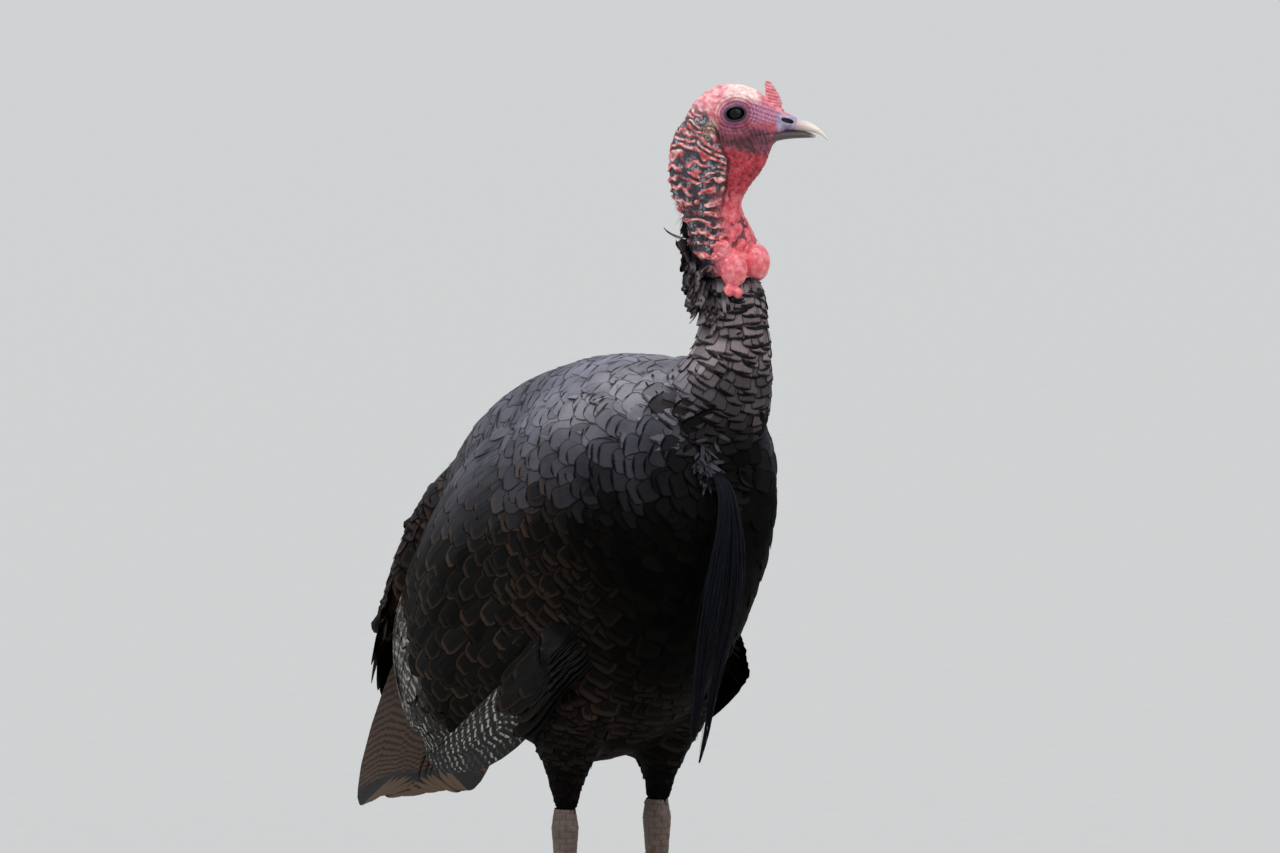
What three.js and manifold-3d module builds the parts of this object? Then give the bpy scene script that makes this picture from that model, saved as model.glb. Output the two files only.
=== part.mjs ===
// A life-size wild turkey gobbler, standing alert with its head turned to its left.
// Millimetres. +X is the way the breast faces, +Y the bird's left, +Z up, and the floor is z = 0.
// Most parts are lofts: a few stations give a section's place and reach, and a spline runs
// through them. Where two parts meet, one is cut back by its neighbour, grown by GAP.
import * as THREE from "three";
import { LoftGeometry } from "three/addons/geometries/LoftGeometry.js";
import { mergeVertices } from "three/addons/utils/BufferGeometryUtils.js";
import Module from "manifold-3d";

const wasm = await Module();
wasm.setup();

// ---------------------------------------------------------------- driving dimensions
const GAP = 0.3; // left between parts that touch
const HEAD_YAW = THREE.MathUtils.degToRad(50); // how far the head is turned to the left
const EYE_CENTRE = new THREE.Vector3(9.7, 11.6, 810); // midway between the eyes
const EYE_RADIUS = 9.3;
const EYE_SPREAD = 11.3; // from the head's middle plane to each eyeball's centre
const FOOT_SPREAD = 58; // from the middle plane to each foot
const SHANK_RADIUS = 9.5;
const SOLE = 0.7; // height of a toe's middle line, as a share of its radius
const SPUR_LENGTH = 23;
const CLAW_LENGTH = 15;

const COLOURS = {
  plumage: 0x1d1a1c,
  barred: 0x8d867c,
  tail: 0x3a2a20,
  skin: 0xb5505e,
  caruncle: 0xd0404a,
  horn: 0xc9b8a4,
  shank: 0x6e5048,
  claw: 0x2c2422,
  eye: 0x120c0a,
  beard: 0x15161c,
};

// ---------------------------------------------------------------- small helpers
const vec = (x, y, z) => new THREE.Vector3(x, y, z);
const UP = vec(0, 0, 1);
const forward = (yaw) => vec(Math.cos(yaw), Math.sin(yaw), 0);
const leftward = (yaw) => vec(-Math.sin(yaw), Math.cos(yaw), 0);

/** Catmull-Rom between b and c, of numbers or of arrays of numbers. */
function between(a, b, c, d, t) {
  if (Array.isArray(b)) return b.map((_, i) => between(a[i], b[i], c[i], d[i], t));
  const bend = (2 * a - 5 * b + 4 * c - d) * t * t + (3 * (b - c) + d - a) * t * t * t;
  return b + 0.5 * ((c - a) * t + bend);
}

/** A station at t, from 0 to 1, on the spline through a list of stations with the same fields. */
function stationAt(stations, t) {
  const last = stations.length - 1;
  const place = Math.min(Math.max(t, 0) * last, last - 1e-9);
  const i = Math.floor(place);
  const near = [i - 1, i, i + 1, i + 2].map((k) => stations[Math.min(Math.max(k, 0), last)]);
  const made = {};
  for (const key of Object.keys(near[1])) {
    made[key] = between(...near.map((station) => station[key]), place - i);
  }
  return made;
}

/** A closed superellipse round `at`, with its own reach up and down and one half-width. */
function section({ at, side, up, wide, top, bottom, power = 2 }, points, grow) {
  return Array.from({ length: points }, (_, i) => {
    const angle = (i / points) * 2 * Math.PI;
    const [c, s] = [Math.cos(angle), Math.sin(angle)];
    const u = Math.sign(c) * Math.abs(c) ** (2 / power) * (wide + grow);
    const v = Math.sign(s) * Math.abs(s) ** (2 / power) * ((s > 0 ? top : bottom) + grow);
    return at.clone().addScaledVector(side, u).addScaledVector(up, v);
  });
}

/** A closed geometry as a solid. */
function solidFrom(geometry) {
  const plain = new THREE.BufferGeometry();
  plain.setAttribute("position", geometry.attributes.position);
  plain.setIndex(geometry.index);
  const merged = mergeVertices(plain, 1e-4);
  const triVerts = new Uint32Array(merged.index.array);
  const vertProperties = merged.attributes.position.array;
  return new wasm.Manifold(new wasm.Mesh({ numProp: 3, vertProperties, triVerts }));
}

function middle(points) {
  const sum = points.reduce((total, p) => total.add(p), vec(0, 0, 0));
  return sum.divideScalar(points.length);
}

/** Whether a section's points run anticlockwise as seen from far along the loft. */
function runsAnticlockwise(points, onward) {
  const centre = middle(points);
  const normal = vec(0, 0, 0);
  points.forEach((p, i) => {
    const next = points[(i + 1) % points.length];
    normal.add(p.clone().sub(centre).cross(next.clone().sub(centre)));
  });
  return normal.dot(onward) > 0;
}

/** The solid lofted through sections, its end sections pushed out by `grow`. */
function loft(sections, grow = 0) {
  const onward = middle(sections.at(-1)).sub(middle(sections[0]));
  if (grow > 0) {
    for (const [end, inner] of [[0, 1], [-1, -2]]) {
      const push = middle(sections.at(end)).sub(middle(sections.at(inner))).setLength(grow);
      sections.at(end).forEach((p) => p.add(push));
    }
  }
  const wound = runsAnticlockwise(sections[0], onward)
    ? sections
    : sections.map((points) => points.toReversed());
  return solidFrom(new LoftGeometry(wound, { closed: true, capStart: true, capEnd: true }));
}

/** What is left of a solid once others are taken away; crumbs that a cut leaves are dropped. */
function cut(solid, ...cutters) {
  const left = cutters.reduce((rest, cutter) => rest.subtract(cutter), solid);
  return left.decompose().sort((a, b) => b.volume() - a.volume())[0];
}

/** A loft through `rings` sections, spaced evenly along the spline of some stations. */
function splineLoft(stations, toSection, rings, points, grow = 0) {
  const sections = Array.from({ length: rings }, (_, i) =>
    section(toSection(stationAt(stations, i / (rings - 1))), points, grow),
  );
  return loft(sections, grow);
}

// ---------------------------------------------------------------- trunk
// Each station runs from a point on the belly to one on the back, as [x, z] in the middle plane;
// `widest` is how far up that line the section is widest.
const TRUNK = [
  { back: [21, 508], belly: [27, 476], wide: 26, widest: 0.5 },
  { back: [4, 544], belly: [26, 440], wide: 57, widest: 0.5 },
  { back: [-14, 568], belly: [18, 400], wide: 76, widest: 0.5 },
  { back: [-44, 583], belly: [0, 357], wide: 92, widest: 0.52 },
  { back: [-88, 590], belly: [-28, 308], wide: 106, widest: 0.54 },
  { back: [-135, 589], belly: [-60, 266], wide: 113, widest: 0.55 },
  { back: [-182, 581], belly: [-98, 232], wide: 114, widest: 0.57 },
  { back: [-228, 566], belly: [-142, 210], wide: 112, widest: 0.58 },
  { back: [-270, 547], belly: [-192, 201], wide: 106, widest: 0.59 },
  { back: [-307, 516], belly: [-242, 216], wide: 96, widest: 0.59 },
  { back: [-335, 475], belly: [-288, 256], wide: 80, widest: 0.58 },
  { back: [-352, 430], belly: [-320, 310], wide: 56, widest: 0.52 },
  { back: [-358, 400], belly: [-342, 356], wide: 26, widest: 0.5 },
];

function trunkSection({ back, belly, wide, widest }) {
  const line = vec(back[0] - belly[0], 0, back[1] - belly[1]);
  const tall = line.length();
  return {
    at: vec(belly[0], 0, belly[1]).addScaledVector(line, widest),
    side: vec(0, 1, 0),
    up: line.normalize(),
    wide,
    top: tall * (1 - widest),
    bottom: tall * widest,
    power: 2.2,
  };
}

const makeTrunk = (grow = 0) => splineLoft(TRUNK, trunkSection, 16, 20, grow);

// ---------------------------------------------------------------- neck
// Level sections; `yaw` turns each one towards the way the head looks.
const NECK = [
  { at: [-34, 6, 498], yaw: 0, front: 42, back: 60, side: 58 },
  { at: [-27, 9, 526], yaw: 0, front: 49, back: 72, side: 66 },
  { at: [-18, 11, 552], yaw: 0, front: 50, back: 65, side: 60 },
  { at: [-8, 14, 578], yaw: 0.05, front: 44, back: 50, side: 51 },
  { at: [-1, 16, 603], yaw: 0.12, front: 41, back: 40, side: 44 },
  { at: [1, 16, 625], yaw: 0.2, front: 40, back: 37, side: 40 },
  { at: [-1, 14, 647], yaw: 0.3, front: 38, back: 36, side: 38 },
  { at: [-3, 11, 667], yaw: 0.45, front: 34, back: 36, side: 34 },
  { at: [-3, 9, 683], yaw: 0.6, front: 30, back: 32, side: 28 },
  { at: [-3, 7, 699], yaw: 0.75, front: 28, back: 29, side: 24 },
  { at: [-6, 3, 714], yaw: HEAD_YAW, front: 25, back: 28, side: 22 },
  { at: [-8, -2, 727], yaw: HEAD_YAW, front: 25, back: 29, side: 22 },
  { at: [-8, -3, 740], yaw: HEAD_YAW, front: 29, back: 34, side: 23 },
  { at: [-6, -2, 756], yaw: HEAD_YAW, front: 32, back: 38, side: 24 },
  { at: [-3, -1, 774], yaw: HEAD_YAW, front: 34, back: 40, side: 24 },
  { at: [0, 0, 792], yaw: HEAD_YAW, front: 30, back: 38, side: 22 },
  { at: [3, 4, 808], yaw: HEAD_YAW, front: 24, back: 30, side: 17 },
  { at: [6, 7, 818], yaw: HEAD_YAW, front: 16, back: 20, side: 10 },
];
const BARE_SKIN_FROM = 682; // height at which the neck's feathers end, at its middle

function neckSection({ at, yaw, front, back, side }) {
  return {
    at: vec(...at),
    side: leftward(yaw),
    up: forward(yaw),
    wide: side,
    top: front,
    bottom: back,
  };
}

const makeNeck = (grow = 0) => splineLoft(NECK, neckSection, 20, 14, grow);

/** All that lies above, or below, a plane that slopes down towards the front. */
function halfSpace(point, slope, above) {
  const size = 1200;
  const box = new THREE.BoxGeometry(size, size, size);
  box.translate(0, 0, ((above ? 1 : -1) * size) / 2);
  box.rotateY(slope);
  box.translate(...point.toArray());
  return solidFrom(box);
}

// ---------------------------------------------------------------- head
// In the head's own frame: x forward from between the eyes, y left, z up.
const HEAD = [
  { at: -42, top: 2, bottom: -24, wide: 9 },
  { at: -34, top: 11.5, bottom: -27, wide: 15 },
  { at: -24, top: 19.5, bottom: -29, wide: 18.5 },
  { at: -12, top: 24, bottom: -31, wide: 19.4 },
  { at: 0, top: 25.2, bottom: -32, wide: 18 },
  { at: 12, top: 22.5, bottom: -31, wide: 17.4 },
  { at: 22, top: 18.2, bottom: -29.5, wide: 16 },
  { at: 31, top: 11.5, bottom: -27, wide: 13.5 },
  { at: 39, top: 5.5, bottom: -24.5, wide: 11 },
  { at: 46, top: 1.5, bottom: -22, wide: 9 },
];
const UPPER_BILL = [
  { at: 40, top: 3, bottom: -15.4, wide: 10 },
  { at: 48, top: -2, bottom: -15.8, wide: 9.4 },
  { at: 56, top: -5.6, bottom: -16.2, wide: 8.6 },
  { at: 64, top: -7.4, bottom: -16.8, wide: 7.4 },
  { at: 71, top: -10.8, bottom: -18, wide: 5.8 },
  { at: 77, top: -15.4, bottom: -20.2, wide: 4 },
  { at: 81.5, top: -20.6, bottom: -23.8, wide: 2.2 },
  { at: 83.8, top: -24.6, bottom: -26, wide: 0.9 },
];
const LOWER_BILL = [
  { at: 34, top: -16.6, bottom: -26.5, wide: 9.6 },
  { at: 43, top: -16.4, bottom: -24.4, wide: 8.6 },
  { at: 53, top: -16.8, bottom: -23.2, wide: 7.4 },
  { at: 63, top: -17.6, bottom: -22.8, wide: 6 },
  { at: 71, top: -18.8, bottom: -22.6, wide: 4.2 },
  { at: 75.5, top: -20.4, bottom: -22.4, wide: 2 },
];
const THROAT = [
  { z: -20, front: 36, back: 4, wide: 8 },
  { z: -30, front: 33, back: -8, wide: 13 },
  { z: -41, front: 28.5, back: -14, wide: 15 },
  { z: -52, front: 23, back: -18, wide: 14 },
  { z: -63, front: 15.5, back: -20, wide: 12 },
  { z: -73, front: 7, back: -20, wide: 10 },
  { z: -82, front: 1, back: -18, wide: 6 },
];
const SNOOD = [
  { at: [34, 0, 3], reach: 7.5, side: 5.6 },
  { at: [34.4, 0, 9], reach: 7.6, side: 5.8 },
  { at: [33.6, 0, 15], reach: 6.4, side: 5 },
  { at: [31.8, 0, 21], reach: 4.8, side: 3.8 },
  { at: [30, 0, 26], reach: 3.2, side: 2.6 },
  { at: [29, 0, 29.5], reach: 1.2, side: 1 },
];

/** A point given in the head's frame, in the bird's frame. */
const inHead = (x, y, z) => vec(x, y, z).applyAxisAngle(UP, HEAD_YAW).add(EYE_CENTRE);

/** A section across the head's forward axis, from a top and a bottom height. */
function crossSection({ at, top, bottom, wide }) {
  const half = (top - bottom) / 2;
  return {
    at: inHead(at, 0, bottom + half),
    side: leftward(HEAD_YAW),
    up: UP,
    wide,
    top: half,
    bottom: half,
    power: 2.2,
  };
}

function throatSection({ z, front, back, wide }) {
  const half = (front - back) / 2;
  return {
    at: inHead(back + half, 0, z),
    side: leftward(HEAD_YAW),
    up: forward(HEAD_YAW),
    wide,
    top: half,
    bottom: half,
  };
}

function snoodSection({ at, reach, side }) {
  return {
    at: inHead(...at),
    side: leftward(HEAD_YAW),
    up: forward(HEAD_YAW),
    wide: side,
    top: reach,
    bottom: reach,
  };
}

function makeEye(side, grow = 0) {
  const ball = new THREE.SphereGeometry(EYE_RADIUS + grow, 10, 7);
  ball.translate(...inHead(0, side * EYE_SPREAD, 0).toArray());
  return solidFrom(ball);
}

const makeHead = (grow = 0) => splineLoft(HEAD, crossSection, 11, 14, grow);
const makeUpperBill = (grow = 0) => splineLoft(UPPER_BILL, crossSection, 9, 10, grow);
const makeLowerBill = (grow = 0) => splineLoft(LOWER_BILL, crossSection, 6, 10, grow);
const makeThroat = (grow = 0) => splineLoft(THROAT, throatSection, 7, 10, grow);
const makeSnood = (grow = 0) => splineLoft(SNOOD, snoodSection, 7, 8, grow);

// The big red lobes round the front of the bare skin's foot. `turn` is measured from straight
// ahead, `out` from the neck's middle line.
const LOBES = [
  { name: "right", turn: -0.72, size: [11, 12, 15], height: 669, out: 34 },
  { name: "middle", turn: 0.12, size: [11.5, 12.5, 15], height: 672, out: 35 },
  { name: "left", turn: 0.98, size: [11, 12, 15], height: 671, out: 33 },
  { name: "low", turn: -0.5, size: [9, 9.5, 9], height: 646, out: 37 },
];
const LOBE_AXIS = vec(-3, 11, 0);

function makeLobe({ turn, size, height, out }, grow = 0) {
  const ball = new THREE.SphereGeometry(1, 10, 7);
  ball.scale(...size.map((s) => s + grow));
  ball.rotateZ(turn);
  const place = LOBE_AXIS.clone().setZ(height).addScaledVector(forward(turn), out);
  ball.translate(...place.toArray());
  return solidFrom(ball);
}

// ---------------------------------------------------------------- beard
// A bundle of bristles from the breast, hanging clear of the belly.
const BEARD = [
  { at: [14, -13, 486], wide: 6, thick: 6 },
  { at: [28, -14, 470], wide: 9, thick: 6 },
  { at: [33, -15, 440], wide: 13, thick: 6 },
  { at: [31, -16, 405], wide: 18, thick: 6 },
  { at: [24, -17, 365], wide: 19, thick: 6 },
  { at: [14, -18, 325], wide: 15, thick: 5.5 },
  { at: [5, -19, 285], wide: 11, thick: 4.5 },
  { at: [-1, -20, 250], wide: 8, thick: 3.5 },
  { at: [-5, -20, 222], wide: 2, thick: 1.5 },
];
const BEARD_YAW = -0.25;

function beardSection({ at, wide, thick }) {
  return {
    at: vec(...at),
    side: leftward(BEARD_YAW),
    up: forward(BEARD_YAW),
    wide,
    top: thick,
    bottom: thick,
  };
}

const makeBeard = (grow = 0) => splineLoft(BEARD, beardSection, 11, 8, grow);

// ---------------------------------------------------------------- tail
// Folded tail feathers, hanging steeply, and the coverts that lie on their roots.
// `slope` is how far the feathers' outer face is turned from straight up to straight back.
const TAIL = [
  { at: [-312, -2, 448], slope: 1.1, wide: 36, top: 8, bottom: 8 },
  { at: [-340, -2, 392], slope: 1.13, wide: 48, top: 9, bottom: 9 },
  { at: [-369, -2, 328], slope: 1.15, wide: 60, top: 8, bottom: 8 },
  { at: [-395, -2, 268], slope: 1.16, wide: 70, top: 6, bottom: 6 },
  { at: [-419, -2, 212], slope: 1.17, wide: 77, top: 4.5, bottom: 4.5 },
  { at: [-437, -2, 166], slope: 1.18, wide: 76, top: 2.5, bottom: 2.5 },
  { at: [-444, -2, 148], slope: 1.18, wide: 68, top: 1.2, bottom: 1.2 },
];
const UPPER_COVERTS = [
  { at: [-292, -2, 498], slope: 0.95, wide: 66, top: 8, bottom: 30 },
  { at: [-328, -3, 456], slope: 1.05, wide: 86, top: 20, bottom: 34 },
  { at: [-356, -4, 404], slope: 1.12, wide: 98, top: 26, bottom: 34 },
  { at: [-380, -5, 350], slope: 1.16, wide: 102, top: 20, bottom: 26 },
  { at: [-398, -6, 304], slope: 1.18, wide: 92, top: 11, bottom: 14 },
  { at: [-410, -7, 272], slope: 1.18, wide: 68, top: 3, bottom: 4 },
];
const UNDER_COVERTS = [
  { at: [-282, -2, 380], slope: 1.1, wide: 54, top: 16, bottom: 26 },
  { at: [-314, -3, 326], slope: 1.14, wide: 58, top: 14, bottom: 24 },
  { at: [-342, -4, 274], slope: 1.16, wide: 54, top: 10, bottom: 16 },
  { at: [-362, -5, 236], slope: 1.17, wide: 38, top: 4, bottom: 6 },
];
const TAIL_ARCH = 12; // the tail's edges stand this far forward of its middle

/** A section lying across the tail, flat. */
function tailSection({ at, slope, wide, top, bottom }) {
  const up = vec(-Math.sin(slope), 0, Math.cos(slope));
  return { at: vec(...at), side: vec(0, 1, 0), up, wide, top, bottom, power: 2.5 };
}

/** A loft of flat sections, each bent so that its edges stand forward of its middle. */
function archedLoft(stations, rings, points, grow) {
  const sections = Array.from({ length: rings }, (_, i) => {
    const flat = tailSection(stationAt(stations, i / (rings - 1)));
    return section(flat, points, grow).map((p) => {
      const across = (p.y - flat.at.y) / TAIL[5].wide;
      return p.addScaledVector(flat.up, -TAIL_ARCH * across * across);
    });
  });
  return loft(sections, grow);
}

const makeTail = (grow = 0) => archedLoft(TAIL, 9, 14, grow);
const makeUpperCoverts = (grow = 0) => archedLoft(UPPER_COVERTS, 7, 10, grow);
const makeUnderCoverts = (grow = 0) => archedLoft(UNDER_COVERTS, 6, 12, grow);

// ---------------------------------------------------------------- wings
// The folded wing is a lens between an upper and a lower edge, [x, z] seen from the side;
// `out` is its distance from the middle plane. The trunk cuts away what lies inside it.
const WING = [
  { upper: [-8, 506], lower: [-6, 484], out: 60, thick: 9 },
  { upper: [-26, 536], lower: [-12, 440], out: 81, thick: 13 },
  { upper: [-62, 556], lower: [-34, 392], out: 99, thick: 15 },
  { upper: [-108, 560], lower: [-64, 348], out: 111, thick: 18 },
  { upper: [-157, 549], lower: [-98, 312], out: 116, thick: 18 },
  { upper: [-206, 526], lower: [-138, 282], out: 115, thick: 18 },
  { upper: [-252, 492], lower: [-180, 258], out: 112, thick: 16 },
  { upper: [-294, 446], lower: [-220, 240], out: 107, thick: 14 },
  { upper: [-328, 394], lower: [-254, 226], out: 102, thick: 11 },
  { upper: [-350, 342], lower: [-280, 219], out: 98, thick: 8 },
  { upper: [-354, 296], lower: [-298, 216], out: 94, thick: 5 },
  { upper: [-336, 250], lower: [-308, 220], out: 92, thick: 2.5 },
];
const WING_HUG = 30; // how far the wing leans in, 120 mm above or below its middle

// The primaries show under the folded wing's lower edge.
const PRIMARIES = [
  { upper: [-110, 330], lower: [-96, 292], out: 110, thick: 5 },
  { upper: [-158, 306], lower: [-136, 254], out: 106, thick: 6 },
  { upper: [-206, 276], lower: [-182, 228], out: 100, thick: 6 },
  { upper: [-252, 248], lower: [-232, 208], out: 93, thick: 5 },
  { upper: [-292, 228], lower: [-280, 200], out: 87, thick: 3.5 },
  { upper: [-318, 214], lower: [-314, 200], out: 84, thick: 1.5 },
];
const PRIMARY_HUG = 60;

/** A lens stood on edge, leaning in at its top and bottom as it lies on a round body. */
function wingLoft(stations, side, hug, rings, points, grow) {
  const sections = Array.from({ length: rings }, (_, i) => {
    const { upper, lower, out, thick } = stationAt(stations, i / (rings - 1));
    const line = vec(upper[0] - lower[0], 0, upper[1] - lower[1]);
    const half = line.length() / 2;
    const at = vec((upper[0] + lower[0]) / 2, side * out, (upper[1] + lower[1]) / 2);
    const up = line.normalize();
    const flat = { at, side: vec(0, 1, 0), up, wide: thick, top: half, bottom: half };
    return section(flat, points, grow).map((p) => {
      const along = p.clone().sub(at).dot(up);
      p.y -= side * hug * (along / 120) ** 2;
      return p;
    });
  });
  return loft(sections, grow);
}

const makeWing = (side, grow = 0) => wingLoft(WING, side, WING_HUG, 13, 12, grow);
const makePrimaries = (side, grow = 0) => wingLoft(PRIMARIES, side, PRIMARY_HUG, 7, 10, grow);

// ---------------------------------------------------------------- legs
const LEGS = {
  right: { side: -1, foot: -146, hip: [-140, 58, 318], ankle: [-149, 56, 162], heading: -0.1 },
  left: { side: 1, foot: -154, hip: [-140, 58, 318], ankle: [-152, 56, 162], heading: 0.14 },
};
const THIGH_GIRTHS = [44, 60, 60, 47, 31, 19, 14];
const SHANK_FLARE = [0.9, 1.32, 1.12, 0.98, 0.95, 1, 1.16, 1.2];
const TOES = [
  { name: "inner", turn: 0.6, length: 66, girth: 6.6 },
  { name: "middle", turn: 0, length: 88, girth: 7.2 },
  { name: "outer", turn: -0.6, length: 70, girth: 6.4 },
  { name: "hind", turn: Math.PI - 0.3, length: 36, girth: 5 },
];

/** A round section at `at`, square to the direction `along`. */
function roundSection(at, along, wide, deep = wide) {
  const side = Math.abs(along.z) > 0.9 ? vec(0, 1, 0) : UP.clone().cross(along).normalize();
  const up = along.clone().cross(side).normalize();
  return { at, side, up, wide, top: deep, bottom: deep };
}

const footPlace = (leg) => vec(leg.foot, leg.side * FOOT_SPREAD, 0);
const mirrored = ([x, y, z], side) => vec(x, side * y, z);

/** A loft of round sections along a straight line, from a list of half-depths. */
function limbLoft(from, to, depths, flatness, points, grow) {
  const along = to.clone().sub(from).normalize();
  const sections = depths.map((deep, i) => {
    const at = from.clone().lerp(to, i / (depths.length - 1));
    return section(roundSection(at, along, deep * flatness, deep), points, grow);
  });
  return loft(sections, grow);
}

function makeThigh(leg, grow = 0) {
  const hip = mirrored(leg.hip, leg.side);
  const ankle = mirrored(leg.ankle, leg.side);
  const end = ankle.clone().lerp(hip, -0.05);
  return limbLoft(hip, end, THIGH_GIRTHS, 0.7, 14, grow);
}

function makeShank(leg, grow = 0) {
  const foot = footPlace(leg).setZ(10);
  const ankle = mirrored(leg.ankle, leg.side);
  const top = ankle.clone().lerp(foot, -0.1);
  const depths = SHANK_FLARE.map((flare) => SHANK_RADIUS * 1.12 * flare);
  return limbLoft(top, foot, depths, 0.78, 8, grow);
}

/** The way a toe points; inner toes turn towards the other foot. */
const toeHeading = (leg, toe) => forward(leg.heading - leg.side * toe.turn);

/** Flattens whatever a solid has below the floor. */
function standOnFloor(sections, grow) {
  sections.flat().forEach((p) => {
    p.z = Math.max(p.z, -grow);
  });
  return loft(sections, grow);
}

/** A toe: thick at each joint, its underside flat on the floor. */
function makeToe(leg, toe, grow = 0) {
  const along = toeHeading(leg, toe);
  const hind = toe.name === "hind";
  const start = footPlace(leg);
  const lift = hind ? 9 : 0;
  const steps = 6;
  const sections = Array.from({ length: steps }, (_, i) => {
    const t = i / (steps - 1);
    const knuckle = 1 + 0.1 * Math.cos(t * 4 * Math.PI);
    const girth = toe.girth * (1 - 0.36 * t) * knuckle;
    const at = start.clone().addScaledVector(along, toe.length * t);
    at.z = girth * SOLE + lift * (1 - t) ** 2;
    return section(roundSection(at, along, girth), 8, grow);
  });
  return standOnFloor(sections, grow);
}

/** A curved horn cone from `start` along `along`, its tip moved by `bend`. */
function makeHorn(start, along, bend, length, girth, grow = 0) {
  const steps = 5;
  const sections = Array.from({ length: steps }, (_, i) => {
    const t = i / (steps - 1);
    const at = start.clone().addScaledVector(along, length * t).addScaledVector(bend, t * t);
    return section(roundSection(at, along, girth * (1 - t) ** 0.7 + 0.45), 6, grow);
  });
  return standOnFloor(sections, grow);
}

function makeClaw(leg, toe, grow = 0) {
  const along = toeHeading(leg, toe);
  const start = footPlace(leg).addScaledVector(along, toe.length - 3).setZ(4.4);
  const length = toe.name === "hind" ? 11 : CLAW_LENGTH;
  return makeHorn(start, along, vec(0, 0, -3.6), length, toe.girth * 0.5, grow);
}

function makeSpur(leg, grow = 0) {
  const along = forward(leg.heading + Math.PI + leg.side * 0.45);
  const ankle = mirrored(leg.ankle, leg.side);
  const start = footPlace(leg).lerp(ankle, 0.32).addScaledVector(along, 5);
  return makeHorn(start, along, vec(0, 0, 4), SPUR_LENGTH, 5, grow);
}

// ---------------------------------------------------------------- the bird
const bird = new THREE.Group();

/** A nested group whose frame is at `place`, turned about +Z by `yaw`. */
function limb(place, yaw = 0) {
  const group = new THREE.Group();
  group.position.copy(place);
  group.rotation.z = yaw;
  bird.add(group);
  group.updateMatrixWorld(true);
  return group;
}

/** Adds a solid, made in the bird's frame, as a named mesh in a limb's own frame. */
function add(group, name, solid, colour, roughness = 0.7) {
  const made = solid.getMesh();
  const geometry = new THREE.BufferGeometry();
  geometry.setAttribute("position", new THREE.BufferAttribute(made.vertProperties.slice(), 3));
  geometry.setIndex(new THREE.BufferAttribute(made.triVerts.slice(), 1));
  geometry.applyMatrix4(group.matrixWorld.clone().invert());
  geometry.computeVertexNormals();
  const material = new THREE.MeshStandardMaterial({ color: colour, roughness, metalness: 0 });
  const mesh = new THREE.Mesh(geometry, material);
  mesh.name = name;
  group.add(mesh);
}

const body = limb(vec(0, 0, 0));
const trunkCutter = makeTrunk(GAP);
add(body, "trunk", makeTrunk(), COLOURS.plumage);

// Neck: feathers below, bare skin above, parted by a plane that slopes down towards the front.
const collar = vec(0, 0, BARE_SKIN_FROM);
const collarSlope = 0.35;
const neckFoot = limb(vec(...NECK[1].at));
const featheredNeck = cut(makeNeck(), trunkCutter, halfSpace(collar, collarSlope, true));
const lobeCutters = LOBES.map((lobe) => makeLobe(lobe, GAP));
add(neckFoot, "neck_feathered", cut(featheredNeck, ...lobeCutters), COLOURS.plumage);

const head = limb(EYE_CENTRE, HEAD_YAW);
const headCutter = makeHead(GAP);
const bareFrom = halfSpace(collar.clone().setZ(BARE_SKIN_FROM + GAP), collarSlope, false);
const bareNeck = cut(makeNeck(), bareFrom, headCutter, ...lobeCutters);
add(head, "neck_bare", bareNeck, COLOURS.skin, 0.5);
LOBES.forEach((lobe, i) => {
  const solid = cut(makeLobe(lobe), ...lobeCutters.slice(0, i));
  add(head, `caruncle_${lobe.name}`, solid, COLOURS.caruncle, 0.45);
});

const upperBillCutter = makeUpperBill(GAP);
const lowerBillCutter = makeLowerBill(GAP);
const snoodCutter = makeSnood(GAP);
const eyeCutters = [-1, 1].map((side) => makeEye(side, GAP));
const skull = cut(makeHead(), upperBillCutter, lowerBillCutter, snoodCutter, ...eyeCutters);
const throat = cut(makeThroat(), headCutter, makeNeck(GAP), lowerBillCutter);
add(head, "head", skull, COLOURS.skin, 0.5);
add(head, "throat", throat, COLOURS.skin, 0.5);
add(head, "bill_upper", cut(makeUpperBill(), snoodCutter), COLOURS.horn, 0.4);
add(head, "bill_lower", cut(makeLowerBill(), upperBillCutter), COLOURS.horn, 0.4);
add(head, "snood", makeSnood(), COLOURS.caruncle, 0.45);
add(head, "eye_right", makeEye(-1), COLOURS.eye, 0.1);
add(head, "eye_left", makeEye(1), COLOURS.eye, 0.1);

add(body, "beard", cut(makeBeard(), trunkCutter), COLOURS.beard, 0.6);

const tailRoot = limb(vec(...TAIL[0].at));
const tailCutter = makeTail(GAP);
const upperCovertCutter = makeUpperCoverts(GAP);
const underCovertCutter = makeUnderCoverts(GAP);
add(tailRoot, "tail", cut(makeTail(), trunkCutter), COLOURS.tail);
add(tailRoot, "tail_coverts", cut(makeUpperCoverts(), trunkCutter, tailCutter), COLOURS.tail);
const underTail = cut(makeUnderCoverts(), trunkCutter, tailCutter, upperCovertCutter);
add(tailRoot, "undertail", underTail, COLOURS.tail);

for (const [name, side] of Object.entries({ right: -1, left: 1 })) {
  const shoulder = limb(mirrored([-14, 98, 500], side));
  const tailSide = [tailCutter, upperCovertCutter, underCovertCutter];
  const wing = cut(makeWing(side), trunkCutter, makeNeck(GAP), ...tailSide);
  const primaries = cut(makePrimaries(side), trunkCutter, makeWing(side, GAP), ...tailSide);
  add(shoulder, `wing_${name}`, wing, COLOURS.plumage);
  add(shoulder, `primaries_${name}`, primaries, COLOURS.barred);
}

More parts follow.
